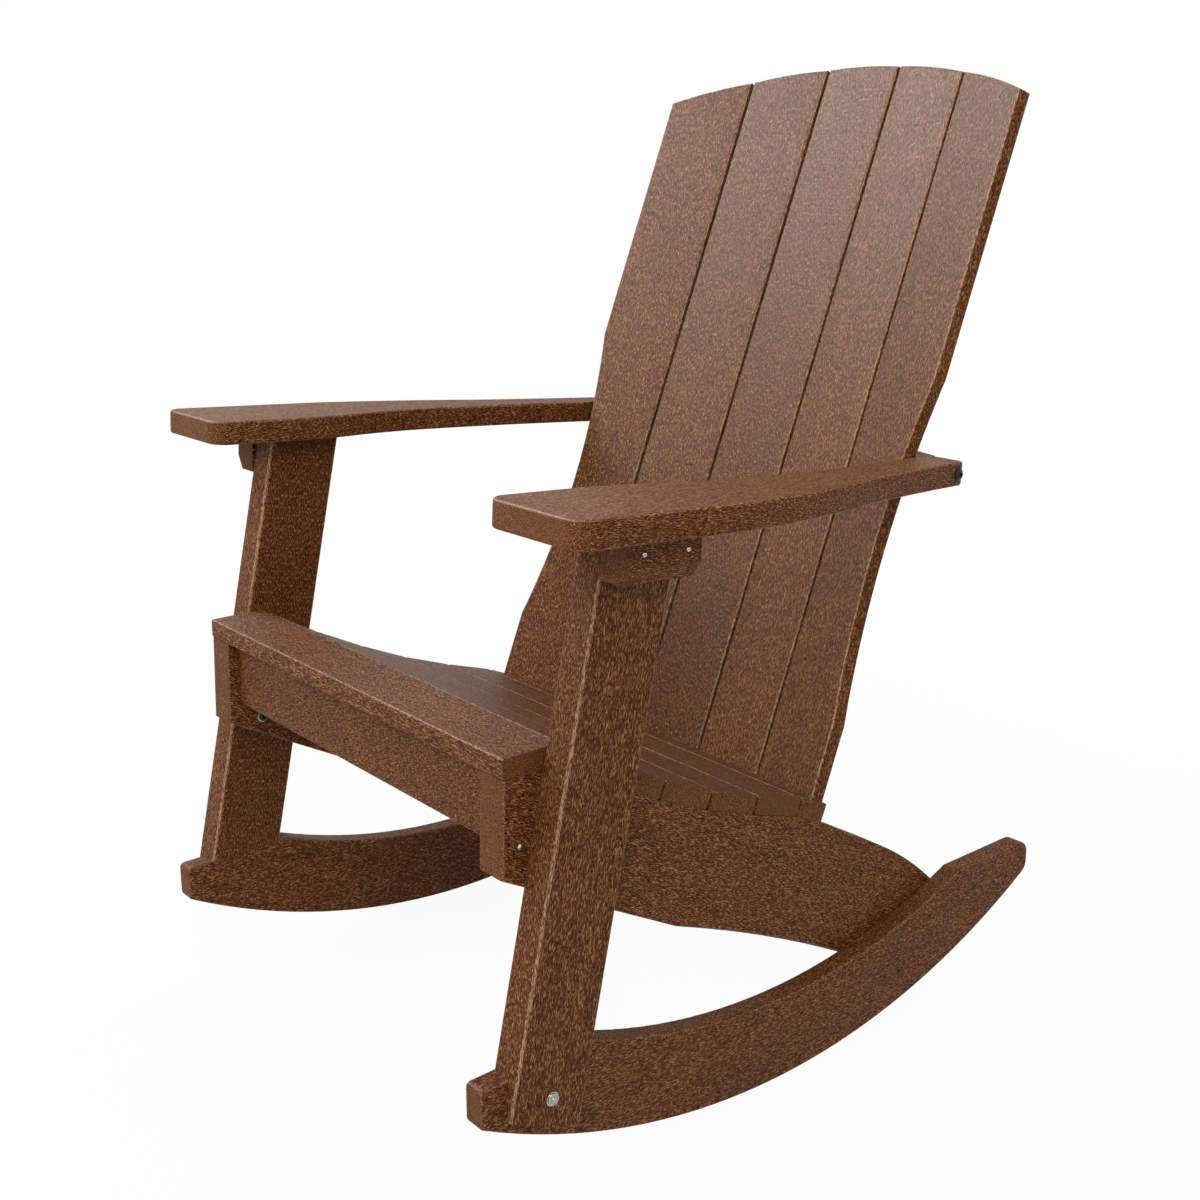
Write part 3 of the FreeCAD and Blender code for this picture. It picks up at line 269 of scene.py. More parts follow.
class HardwareSizes(bpy.types.PropertyGroup):
    """Sizes of the bolts, screws and washers."""

    bolt_head_radius: FloatProperty(
        name="Bolt head radius", description="Head radius of the bolts at the rockers and the arms",
        subtype="DISTANCE", unit="LENGTH", default=0.0065)
    bolt_head_height: FloatProperty(
        name="Bolt head height", description="Height of a bolt's head above its washer",
        subtype="DISTANCE", unit="LENGTH", default=0.0042)
    bolt_shank_radius: FloatProperty(
        name="Bolt shank radius", description="Radius of a bolt's shank",
        subtype="DISTANCE", unit="LENGTH", default=0.0035)
    socket_radius: FloatProperty(
        name="Socket radius", description="Corner radius of the hexagon socket",
        subtype="DISTANCE", unit="LENGTH", default=0.0024)
    washer_radius: FloatProperty(
        name="Washer radius", description="Outer radius of the washers at the arms",
        subtype="DISTANCE", unit="LENGTH", default=0.008)
    rocker_washer_radius: FloatProperty(
        name="Rocker washer radius", description="Outer radius of the washers at the rockers",
        subtype="DISTANCE", unit="LENGTH", default=0.0072)
    rail_washer_radius: FloatProperty(
        name="Rail washer radius", description="Outer radius of the washers inside the seat rails",
        subtype="DISTANCE", unit="LENGTH", default=0.0068)
    rail_head_radius: FloatProperty(
        name="Rail bolt head radius", description="Head radius of the bolts inside the seat rails",
        subtype="DISTANCE", unit="LENGTH", default=0.0056)
    button_radius: FloatProperty(
        name="Button radius", description="Radius of the round button on a rocker bolt's flat head",
        subtype="DISTANCE", unit="LENGTH", default=0.003)
    washer_thickness: FloatProperty(
        name="Washer thickness", description="Thickness of a washer",
        subtype="DISTANCE", unit="LENGTH", default=0.0014)
    bracket_screw_radius: FloatProperty(
        name="Bracket screw radius", description="Head radius of the screws through the brackets",
        subtype="DISTANCE", unit="LENGTH", default=0.0027)
    apron_screw_radius: FloatProperty(
        name="Apron screw radius", description="Head radius of the screws into the apron",
        subtype="DISTANCE", unit="LENGTH", default=0.0034)
    screw_head_height: FloatProperty(
        name="Screw head height", description="Height of a screw's head",
        subtype="DISTANCE", unit="LENGTH", default=0.002)
    screw_shank_radius: FloatProperty(
        name="Screw shank radius", description="Radius of a screw's shank",
        subtype="DISTANCE", unit="LENGTH", default=0.0024)
    slot_turn: FloatProperty(
        name="Slot turn", description="Turn of the screw slots on their heads",
        subtype="ANGLE", unit="ROTATION", default=math.radians(20.5))
    sides: IntProperty(
        name="Sides", description="Number of sides that make a round head",
        min=12, max=96, default=48)


class StudioSettings(bpy.types.PropertyGroup):
    """Lamps, floor and camera."""

    lens: FloatProperty(
        name="Lens", description="Focal length of the camera in millimetres", min=10.0, default=46.06)
    frame_shift: FloatProperty(
        name="Frame shift", description="Vertical shift of the picture", default=-0.0528)
    overhead_power: FloatProperty(
        name="Overhead softbox", description="Power of the softbox above the front of the chair",
        unit="POWER", min=0.0, default=20.0)
    left_power: FloatProperty(
        name="Left softbox", description="Power of the softbox in front of the chair's right side",
        unit="POWER", min=0.0, default=42.0)
    front_power: FloatProperty(
        name="Front softbox", description="Power of the softbox high behind the camera",
        unit="POWER", min=0.0, default=66.0)
    rear_power: FloatProperty(
        name="Rear softbox", description="Power of the softbox behind the chair",
        unit="POWER", min=0.0, default=46.0)
    sheen_power: FloatProperty(
        name="Sheen softbox", description="Power of the strip that shows only as sheen on the back and arms",
        unit="POWER", min=0.0, default=580.0)
    surrounding_light: FloatProperty(
        name="Surrounding light", description="Strength of the light from all round", min=0.0, default=0.56)
    floor_radius: FloatProperty(
        name="Floor radius", description="Radius of the studio floor",
        subtype="DISTANCE", unit="LENGTH", default=14.0)


def opaque(colour):
    """A colour with an alpha of one."""
    return (*colour, 1.0)


def add_node(tree, kind, place, **settings):
    """A new shader node at a place in the node editor."""
    node = tree.nodes.new(kind)
    node.location = place
    for name, value in settings.items():
        setattr(node, name, value)
    return node


def combined(tree, operation, first, second, place):
    """Two values put through a Math node."""
    node = add_node(tree, "ShaderNodeMath", place, operation=operation)
    tree.links.new(first, node.inputs[0])
    tree.links.new(second, node.inputs[1])
    return node.outputs[0]


def scaled_noise(tree, vector, place, scale, detail, shift):
    """Noise with its own scale on each axis."""
    mapping = add_node(tree, "ShaderNodeMapping", place)
    mapping.inputs["Scale"].default_value = scale
    mapping.inputs["Location"].default_value = shift
    noise = add_node(tree, "ShaderNodeTexNoise", (place[0] + 200, place[1]), noise_dimensions="3D")
    noise.inputs["Scale"].default_value = 1.0
    noise.inputs["Detail"].default_value = detail
    tree.links.new(vector, mapping.inputs["Vector"])
    tree.links.new(mapping.outputs["Vector"], noise.inputs["Vector"])
    return noise.outputs["Fac"]


def ranged(tree, value, place, fade, levels=(0.0, 1.0)):
    """A value brought smoothly from the range of its fade to a range of levels."""
    node = add_node(tree, "ShaderNodeMapRange", place, interpolation_type="SMOOTHSTEP")
    node.inputs["From Min"].default_value, node.inputs["From Max"].default_value = fade
    node.inputs["To Min"].default_value, node.inputs["To Max"].default_value = levels
    tree.links.new(value, node.inputs["Value"])
    return node.outputs["Result"]


def mixed(tree, factor, first, second, place):
    """Two colours mixed by a factor; each is a socket or a colour."""
    node = add_node(tree, "ShaderNodeMix", place, data_type="RGBA")
    for socket, value in ((node.inputs["Factor"], factor), (node.inputs[6], first), (node.inputs[7], second)):
        if isinstance(value, bpy.types.NodeSocket):
            tree.links.new(value, socket)
        else:
            socket.default_value = value
    return node.outputs[2]


def bumped(tree, height, depth, place):
    """The surface's normal with a height embossed to a depth in metres."""
    node = add_node(tree, "ShaderNodeBump", place)
    node.inputs["Strength"].default_value = 1.0
    node.inputs["Distance"].default_value = depth
    tree.links.new(height, node.inputs["Height"])
    return node.outputs["Normal"]


def grain_group():
    """An empty node group with the sockets of the poly lumber's grain."""
    group = bpy.data.node_groups.new("Poly lumber grain", "ShaderNodeTree")
    group.interface.new_socket("Vector", in_out="INPUT", socket_type="NodeSocketVector")
    for name in ("Facing", "Wear", "Tone"):
        group.interface.new_socket(name, in_out="INPUT", socket_type="NodeSocketFloat")
    group.interface.new_socket("Colour", in_out="OUTPUT", socket_type="NodeSocketColor")
    group.interface.new_socket("Roughness", in_out="OUTPUT", socket_type="NodeSocketFloat")
    group.interface.new_socket("Normal", in_out="OUTPUT", socket_type="NodeSocketVector")
    return group


def poly_lumber_grain(finish):
    """Node group for streaky poly lumber whose grain runs along X of the vector it is given."""
    group = grain_group()
    entry = add_node(group, "NodeGroupInput", (-1200, 0)).outputs
    result = add_node(group, "NodeGroupOutput", (1100, 0)).inputs
    vector = entry["Vector"]

    across = 1.0 / finish.streak_width
    streak_scale = (1.0 / finish.streak_length, across, across)
    light = scaled_noise(group, vector, (-950, 400), streak_scale, STREAK_DETAIL, LIGHT_SHIFT)
    dark = scaled_noise(group, vector, (-950, 100), streak_scale, STREAK_DETAIL, DARK_SHIFT)
    bands = scaled_noise(group, vector, (-950, -200), BAND_SCALE, STREAK_DETAIL, BAND_SHIFT)
    clouds = scaled_noise(group, vector, (-950, -500), CLOUD_SCALE, CLOUD_DETAIL, CLOUD_SHIFT)

    pores = ranged(group, dark, (-500, 100), PORE_FADE)
    streaks = ranged(group, light, (-500, 400), STREAK_FADE)
    colour = mixed(group, pores, opaque(finish.board_colour), opaque(finish.dark_streak_colour), (-250, 200))
    colour = mixed(group, streaks, colour, opaque(finish.light_streak_colour), (0, 250))

    # Pale rounded edges: partly rubbing, partly a painted highlight, speckled by the light streaks
    rising = ranged(group, entry["Facing"], (-500, -700), WEAR_AND_HIGHLIGHT_RISE)
    falling = ranged(group, entry["Facing"], (-500, -950), WEAR_AND_HIGHLIGHT_FALL)
    speckle = ranged(group, light, (-500, -1200), SPECKLE_FADE, SPECKLE_LEVELS)
    turning = combined(group, "MULTIPLY", rising, falling, (-250, -800))
    worn_and_highlit = combined(group, "MULTIPLY", turning, speckle, (-100, -800))
    wear_and_highlight = combined(group, "MULTIPLY", worn_and_highlit, entry["Wear"], (50, -800))
    colour = mixed(group, wear_and_highlight, colour, opaque(finish.edge_wear_and_highlight_colour), (200, 150))

    band_level = ranged(group, bands, (-500, -200), SLOW_FADE, BAND_LEVELS)
    cloud_level = ranged(group, clouds, (-500, -450), SLOW_FADE, CLOUD_LEVELS)
    level = combined(group, "MULTIPLY", band_level, cloud_level, (-250, -300))
    toned = combined(group, "MULTIPLY", level, entry["Tone"], (0, -300))
    shade = add_node(group, "ShaderNodeVectorMath", (450, 100), operation="SCALE")
    group.links.new(colour, shade.inputs[0])
    group.links.new(toned, shade.inputs["Scale"])
    group.links.new(shade.outputs["Vector"], result["Colour"])

    spread = (finish.roughness - SMOOTHER, finish.roughness + ROUGHER)
    group.links.new(ranged(group, dark, (200, -100), ROUGHNESS_FADE, spread), result["Roughness"])
    height = combined(group, "SUBTRACT", light, dark, (200, -450))
    group.links.new(bumped(group, height, finish.relief, (450, -450)), result["Normal"])
    return group


def wide_side(piece):
    """The way that a board's wide faces look, as the direction that most of its surface has."""
    areas = {}
    for face in piece.data.polygons:
        way = face.normal if sum(face.normal) > 0 else -face.normal
        key = tuple(round(part, 2) + 0.0 for part in way)
        areas[key] = areas.get(key, 0.0) + face.area
    return Vector(max(areas, key=areas.get)).normalized()


def board_wear_and_highlight(name, finish):
    """How strongly a board's rounded edges turn pale, partly rubbing and partly a painted highlight; the
    brackets' chamfers don't.
    """
    if name.startswith("leg"):
        return finish.leg_wear
    if name.startswith("back_slat"):
        return finish.back_wear
    if name.startswith("arm_bracket"):
        return 0.0
    return finish.other_wear_and_highlight


def board_material(name, rise, number, group, finish):
    """Poly lumber for one board, with the grain turned along it and its own stretch of the pattern."""
    material = bpy.data.materials.new(f"Poly lumber {name}")
    material.use_nodes = True
    tree = material.node_tree
    shader = tree.nodes["Principled BSDF"]
    shader.inputs["IOR"].default_value = BOARD_IOR
    shader.inputs["Specular IOR Level"].default_value = finish.gloss_level
    coordinates = add_node(tree, "ShaderNodeTexCoord", (-900, 0))
    mapping = add_node(tree, "ShaderNodeMapping", (-700, 0))
    mapping.inputs["Location"].default_value = [step * number for step in BOARD_STRIDE]
    if rise is not None:
        mapping.inputs["Rotation"].default_value = (math.radians(-rise), 0.0, math.radians(-90))
    grain = add_node(tree, "ShaderNodeGroup", (-400, 0), node_tree=group)
    grain.inputs["Tone"].default_value = 1.0 + TONE_SPREAD * math.sin(TONE_TURN * number)
    # Strength of the pale edges, partly rubbing and partly a painted highlight
    grain.inputs["Wear"].default_value = board_wear_and_highlight(name, finish)
    tree.links.new(coordinates.outputs["Object"], mapping.inputs["Vector"])
    tree.links.new(mapping.outputs["Vector"], grain.inputs["Vector"])
    turned = add_node(tree, "ShaderNodeVectorMath", (-700, -400), operation="DOT_PRODUCT")
    turned.inputs[1].default_value = wide_side(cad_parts[name])
    tree.links.new(coordinates.outputs["Normal"], turned.inputs[0])
    facing = add_node(tree, "ShaderNodeMath", (-550, -400), operation="ABSOLUTE")
    tree.links.new(turned.outputs["Value"], facing.inputs[0])
    tree.links.new(facing.outputs[0], grain.inputs["Facing"])
    tree.links.new(grain.outputs["Colour"], shader.inputs["Base Color"])
    tree.links.new(grain.outputs["Roughness"], shader.inputs["Roughness"])
    tree.links.new(grain.outputs["Normal"], shader.inputs["Normal"])
    return material


def metal_material(metal):
    """Metal with small cloudy marks, a fine grain and painted shade darkening its corners, made once for each
    metal.
    """
    if metal.name in bpy.data.materials:
        return bpy.data.materials[metal.name]
    material = bpy.data.materials.new(metal.name)
    material.use_nodes = True
    tree = material.node_tree
    shader = tree.nodes["Principled BSDF"]
    shader.inputs["Metallic"].default_value = metal.metallic
    shader.inputs["Specular IOR Level"].default_value = metal.gloss
    vector = add_node(tree, "ShaderNodeTexCoord", (-900, 0)).outputs["Object"]
    clouds = scaled_noise(tree, vector, (-700, 200), MARK_SCALE, MARK_DETAIL, MARK_SHIFT)
    fine = scaled_noise(tree, vector, (-700, -200), FINE_SCALE, FINE_DETAIL, FINE_SHIFT)
    marks = ranged(tree, clouds, (-250, 200), MARK_FADE)
    clean = mixed(tree, marks, opaque(metal.colour), opaque(metal.worn_colour), (0, 200))
    # Painted shade: the metal is darkened where ambient occlusion finds its corners and recesses
    corners = add_node(
        tree, "ShaderNodeAmbientOcclusion", (-500, 500), only_local=True, samples=CORNER_SHADE_SAMPLES)
    corners.inputs["Distance"].default_value = metal.corner_shade_reach
    corner_shade = ranged(tree, corners.outputs["AO"], (-250, 500), CORNER_SHADE_FADE)
    tree.links.new(mixed(tree, corner_shade, clean, opaque(CORNER_SHADE), (200, 300)), shader.inputs["Base Color"])
    spread = (metal.roughness, metal.roughness + METAL_ROUGHER)
    tree.links.new(ranged(tree, clouds, (0, 0), ROUGHNESS_FADE, spread), shader.inputs["Roughness"])
    tree.links.new(bumped(tree, fine, metal.grain, (0, -250)), shader.inputs["Normal"])
    return material


def deselect_all():
    """Object mode with nothing selected."""
    if bpy.context.object and bpy.context.object.mode != "OBJECT":
        bpy.ops.object.mode_set(mode="OBJECT")
    bpy.ops.object.select_all(action="DESELECT")


def make_active(piece):
    """Only this piece selected, and active."""
    deselect_all()
    piece.select_set(True)
    bpy.context.view_layer.objects.active = piece


def start_editing():
    """Edit mode on the active piece, with its whole mesh selected."""
    bpy.ops.object.mode_set(mode="EDIT")
    bpy.ops.mesh.select_all(action="SELECT")


def face_outward():
    """Faces of the piece being edited turned outward, then object mode."""
    bpy.ops.mesh.select_all(action="SELECT")
    bpy.ops.mesh.normals_make_consistent(inside=False)
    bpy.ops.object.mode_set(mode="OBJECT")


def lift(height):
    """The active piece's mesh moved up."""
    start_editing()
    bpy.ops.transform.translate(value=(0, 0, height))
    bpy.ops.object.mode_set(mode="OBJECT")


def apply_modifier(piece, modifier):
    """A modifier applied to the piece's mesh."""
    make_active(piece)
    bpy.ops.object.modifier_apply(modifier=modifier.name)


def soften_edges(piece, width):
    """Sharp edges bevelled, then smooth faces between them."""
    bevel = piece.modifiers.new("Soft edges", "BEVEL")
    bevel.width = width
    bevel.segments = 2
    bevel.limit_method = "ANGLE"
    bevel.angle_limit = SOFT_ANGLE
    apply_modifier(piece, bevel)
    bpy.ops.object.shade_smooth_by_angle(angle=SOFT_ANGLE)


def cut_away(piece, cutter):
    """The cutter taken out of the piece and deleted."""
    cut = piece.modifiers.new("Cut", "BOOLEAN")
    cut.operation = "DIFFERENCE"
    cut.solver = "EXACT"
    cut.object = cutter
    apply_modifier(piece, cut)
    bpy.data.objects.remove(cutter)


def turned_piece(profile, sides):
    """A closed round piece along Z, drawn out ring by ring from pairs of height and radius."""
    deselect_all()
    height, radius = profile[0]
    bpy.ops.mesh.primitive_circle_add(vertices=sides, radius=radius, fill_type="NGON")
    piece = bpy.context.object
    start_editing()
    bpy.ops.transform.translate(value=(0, 0, height))
    for next_height, next_radius in profile[1:]:
        bpy.ops.mesh.extrude_region_move(TRANSFORM_OT_translate={"value": (0, 0, next_height - height)})
        share = next_radius / radius
        bpy.ops.transform.resize(value=(share, share, 1), center_override=(0, 0, next_height))
        height, radius = next_height, next_radius
    face_outward()
    return piece


def shank_profile(shank, head, length):
    """Rings of a fastener from its tip to the underside of its head, which lies at Z = 0."""
    return [(-length, TIP_RADIUS * shank), (-length + TIP_LENGTH * shank, shank), (0.0, shank), (0.0, head)]


def domed_profile(shank, head, head_height, length):
    """Rings of a fastener from its tip to the top of its domed head."""
    rim = DOME_RIM * head_height
    crown = head_height - rim
    dome = (head ** 2 + crown ** 2) / (2 * crown)
    rings = shank_profile(shank, head, length) + [(rim, head)]
    for share in DOME_RINGS:
        radius = share * head
        rings.append((head_height - dome + math.sqrt(dome ** 2 - radius ** 2), radius))
    return rings


def buttoned_profile(shank, head, head_height, button, length):
    """Rings of a bolt from its tip to the top of the button on its flat head."""
    flat = FLAT_HEAD * head_height
    rings = shank_profile(shank, head, length)
    rings += [(height * flat, radius * head) for height, radius in FLAT_RINGS]
    rings += [(BUTTON_FOOT[0] * flat, BUTTON_FOOT[1] * button), (flat, button)]
    rise = head_height - flat
    for angle in BUTTON_ANGLES:
        turn = math.radians(angle)
        rings.append((flat + rise * math.sin(turn), button * math.cos(turn)))
    return rings


def button_bolt(sizes, length):
    """Bolt with a flat head and a round button in its middle."""
    profile = buttoned_profile(
        sizes.bolt_shank_radius, sizes.bolt_head_radius, sizes.bolt_head_height, sizes.button_radius, length)
    bolt = turned_piece(profile, sizes.sides)
    soften_edges(bolt, BUTTON_BOLT_BEVEL)
    return bolt


def socket_bolt(sizes, head, length):
    """Dome-head bolt with a hexagon socket."""
    high = sizes.bolt_head_height
    bolt = turned_piece(domed_profile(sizes.bolt_shank_radius, head, high, length), sizes.sides)
    bpy.ops.mesh.primitive_cylinder_add(
        vertices=6, radius=sizes.socket_radius, depth=high, location=(0, 0, SOCKET_MIDDLE * high))
    cut_away(bolt, bpy.context.object)
    soften_edges(bolt, SOCKET_BOLT_BEVEL)
    return bolt


def slotted_screw(sizes, head, length):
    """Round-head screw with a straight slot."""
    high = sizes.screw_head_height
    screw = turned_piece(domed_profile(sizes.screw_shank_radius, head, high, length), sizes.sides)
    bpy.ops.mesh.primitive_cube_add(size=1, location=(0, 0, high))
    cutter = bpy.context.object
    cutter.scale = (SLOT_LENGTH * head, SLOT_WIDTH * head, SLOT_DEPTH * high)
    cutter.rotation_euler.z = sizes.slot_turn
    cut_away(screw, cutter)
    soften_edges(screw, SCREW_BEVEL)
    return screw


def flat_washer(sizes, radius):
    """Flat ring on Z = 0."""
    deselect_all()
    bpy.ops.mesh.primitive_circle_add(vertices=sizes.sides, radius=radius, fill_type="NOTHING")
    washer = bpy.context.object
    start_editing()
    share = HOLE_CLEARANCE * sizes.bolt_shank_radius / radius
    bpy.ops.mesh.extrude_region_move(TRANSFORM_OT_translate={"value": (0, 0, 0)})
    bpy.ops.transform.resize(value=(share, share, 1), center_override=(0, 0, 0))
    face_outward()
    thickness = washer.modifiers.new("Thickness", "SOLIDIFY")
    thickness.thickness = sizes.washer_thickness
    thickness.offset = 1.0
    apply_modifier(washer, thickness)
    if max(corner.co.z for corner in washer.data.vertices) <= 0:
        lift(sizes.washer_thickness)
    soften_edges(washer, WASHER_BEVEL)
    return washer


def place_copies(model, name, places):
    """Copies of the model at the places, each a point and the way its head faces, joined as one piece."""
    copies = []
    for point, way in places:
        make_active(model)
        bpy.ops.object.duplicate(linked=False)
        copy = bpy.context.object
        copy.matrix_world = Matrix.Translation(point) @ way.to_track_quat("Z", "Y").to_matrix().to_4x4()
        copies.append(copy)
    bpy.data.objects.remove(model)
    deselect_all()
    for copy in copies:
        copy.select_set(True)
    bpy.context.view_layer.objects.active = copies[0]
    bpy.ops.object.transform_apply(location=True, rotation=True, scale=True)
    bpy.ops.object.join()
    piece = bpy.context.object
    bpy.ops.object.transform_apply(location=True, rotation=True, scale=True)
    piece.name = name
    return piece


def stand_in(piece, node, metal):
    """The piece takes the place of a CAD node, with its metal."""
    piece.data.materials.clear()
    piece.data.materials.append(metal_material(metal))
    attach(piece, "root")
    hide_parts(node)


def head_place(low, high, head, rank):
    """Middle of a head between two sides: at the low one (-1), halfway (0) or at the high one (1)."""
    if rank < 0:
        return low + head
    if rank > 0:
        return high - head
    return (low + high) / 2


def outward_places(node, head, height, ranks):
    """Places on both outer sides of a node's box; each rank says where its side view holds a head."""
    low, high = (Vector(corner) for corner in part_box(node))
    places = []
    for back_rank, up_rank in ranks:
        back = head_place(low.y, high.y, head, back_rank)
        up = head_place(low.z, high.z, head, up_rank)
        places.append((Vector((high.x - height, back, up)), LEFT))
        places.append((Vector((low.x + height, back, up)), RIGHT))
    return places


def inward_places(node, head, side):
    """Places of two bolts on the inner side of each rail, whose heads face the middle of the chair."""
    low, high = (Vector(corner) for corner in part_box(node))
    places = []
    for rank in (-1, 1):
        back = head_place(low.y, high.y, head, rank)
        up = head_place(low.z, high.z, head, rank)
        places.append((Vector((side, back, up)), RIGHT))
        places.append((Vector((-side, back, up)), LEFT))
    return places


class CHAIR_OT_finish_boards(bpy.types.Operator):
    """Give every board its streaky brown poly lumber"""

    bl_idname = "rocking_chair.finish_boards"
    bl_label = "Finish Boards"

    def execute(self, context):
        finish = context.scene.rocking_chair_boards
        group = poly_lumber_grain(finish)
        for number, (name, rise) in enumerate(BOARDS.items()):
            material = board_material(name, rise, number, group, finish)
            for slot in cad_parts[name].material_slots:
                slot.material = material
        return {"FINISHED"}


class CHAIR_OT_rocker_bolts(bpy.types.Operator):
    """Model the silver bolts and washers at the feet of the legs"""

    bl_idname = "rocking_chair.rocker_bolts"
    bl_label = "Rocker Bolts"

    length: FloatProperty(name="Length", description="Length under the head", unit="LENGTH", default=0.031)

    def execute(self, context):
        sizes = context.scene.rocking_chair_hardware
        places = outward_places("rocker_bolts", sizes.bolt_head_radius, sizes.bolt_head_height, [(0, 0)])
        bolts = place_copies(button_bolt(sizes, self.length), "rocker_bolts_turned", places)
        stand_in(bolts, "rocker_bolts", AGED_STEEL)
        places = outward_places("rocker_bolt_washers", sizes.washer_radius, sizes.washer_thickness, [(0, 0)])
        ring = flat_washer(sizes, sizes.rocker_washer_radius)
        washers = place_copies(ring, "rocker_bolt_washers_turned", places)
        stand_in(washers, "rocker_bolt_washers", BRIGHT_STEEL)
        return {"FINISHED"}


class CHAIR_OT_arm_bolts(bpy.types.Operator):
    """Model the black bolts and washers at the rear ends of the arms"""

    bl_idname = "rocking_chair.arm_bolts"
    bl_label = "Arm Bolts"

    length: FloatProperty(name="Length", description="Length under the head", unit="LENGTH", default=0.092)

    def execute(self, context):
        sizes = context.scene.rocking_chair_hardware
        places = outward_places("arm_bolts", sizes.bolt_head_radius, sizes.bolt_head_height, [(0, 0)])
        bolt = socket_bolt(sizes, sizes.bolt_head_radius, self.length)
        bolts = place_copies(bolt, "arm_bolts_turned", places)
        stand_in(bolts, "arm_bolts", BLACK_STEEL)
        places = outward_places("arm_bolt_washers", sizes.washer_radius, sizes.washer_thickness, [(0, 0)])
        washers = place_copies(flat_washer(sizes, sizes.washer_radius), "arm_bolt_washers_turned", places)
        stand_in(washers, "arm_bolt_washers", BLACK_STEEL)
        return {"FINISHED"}


class CHAIR_OT_rail_bolts(bpy.types.Operator):
    """Model the black bolts and zinc washers inside the seat rails"""

    bl_idname = "rocking_chair.rail_bolts"
    bl_label = "Rail Bolts"

    leg_length: FloatProperty(
        name="Leg bolt", description="Length under the head", unit="LENGTH", default=0.066)
    tail_length: FloatProperty(
        name="Tail bolt", description="Length under the head", unit="LENGTH", default=0.056)

    def execute(self, context):
        sizes = context.scene.rocking_chair_hardware
        rail_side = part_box("seat_rail_left")[0][0]
        bolt_seat = rail_side - sizes.washer_thickness
        for name, length in (("leg", self.leg_length), ("rail_tail", self.tail_length)):
            bolts_node = f"{name}_bolts"
            places = inward_places(bolts_node, sizes.bolt_head_radius, bolt_seat)
            bolt = socket_bolt(sizes, sizes.rail_head_radius, length)
            bolts = place_copies(bolt, f"{bolts_node}_turned", places)
            stand_in(bolts, bolts_node, BLACK_STEEL)
            washers_node = f"{name}_bolt_washers"
            places = inward_places(washers_node, sizes.washer_radius, rail_side)
            ring = flat_washer(sizes, sizes.rail_washer_radius)
            washers = place_copies(ring, f"{washers_node}_turned", places)
            stand_in(washers, washers_node, ZINC)
        return {"FINISHED"}


class CHAIR_OT_face_screws(bpy.types.Operator):
    """Model the bright screws that show in the brackets and the seat rails"""

    bl_idname = "rocking_chair.face_screws"
    bl_label = "Face Screws"

    bracket_length: FloatProperty(
        name="Bracket screw", description="Length under the head", unit="LENGTH", default=0.066)
    apron_length: FloatProperty(
        name="Apron screw", description="Length under the head", unit="LENGTH", default=0.062)

    def execute(self, context):
        sizes = context.scene.rocking_chair_hardware
        head = sizes.bracket_screw_radius
        places = outward_places("bracket_screws", head, sizes.screw_head_height, [(-1, 1), (1, -1)])
        screw = slotted_screw(sizes, head, self.bracket_length)
        screws = place_copies(screw, "bracket_screws_turned", places)
        stand_in(screws, "bracket_screws", BRIGHT_STEEL)
        head = sizes.apron_screw_radius
        places = outward_places("apron_screws", head, sizes.screw_head_height, [(0, 0)])
        screw = slotted_screw(sizes, head, self.apron_length)
        screws = place_copies(screw, "apron_screws_turned", places)
        stand_in(screws, "apron_screws", BRIGHT_STEEL)
        return {"FINISHED"}


class CHAIR_OT_hidden_screws(bpy.types.Operator):
    """Give the screws under the seat and behind the back their steel"""

    bl_idname = "rocking_chair.hidden_screws"
    bl_label = "Hidden Screws"

    def execute(self, context):
        for name in HIDDEN_SCREWS:
            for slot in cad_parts[name].material_slots:
                slot.material = metal_material(BRIGHT_STEEL)
        return {"FINISHED"}


def seen_directly(tree, place):
    """One for a camera, glossy or transmission ray, and zero for the rest."""
    path = add_node(tree, "ShaderNodeLightPath", place).outputs
    across, up = place
    plain = combined(tree, "MAXIMUM", path["Is Camera Ray"], path["Is Glossy Ray"], (across + 200, up))
    return combined(tree, "MAXIMUM", plain, path["Is Transmission Ray"], (across + 400, up))


def studio_world(strength):
    """White surroundings for the camera, glossy and transmission rays, and softer light for the rest."""
    world = bpy.context.scene.world or bpy.data.worlds.new("Studio")
    bpy.context.scene.world = world
    world.use_nodes = True
    tree = world.node_tree
    tree.nodes.clear()
    background = add_node(tree, "ShaderNodeBackground", (200, 0))
    background.inputs["Color"].default_value = opaque(WHITE)
    result = add_node(tree, "ShaderNodeOutputWorld", (400, 0))
    level = ranged(tree, seen_directly(tree, (-600, 0)), (0, 0), (0.0, 1.0), (strength, 1.0))
    tree.links.new(level, background.inputs["Strength"])
    tree.links.new(background.outputs["Background"], result.inputs["Surface"])


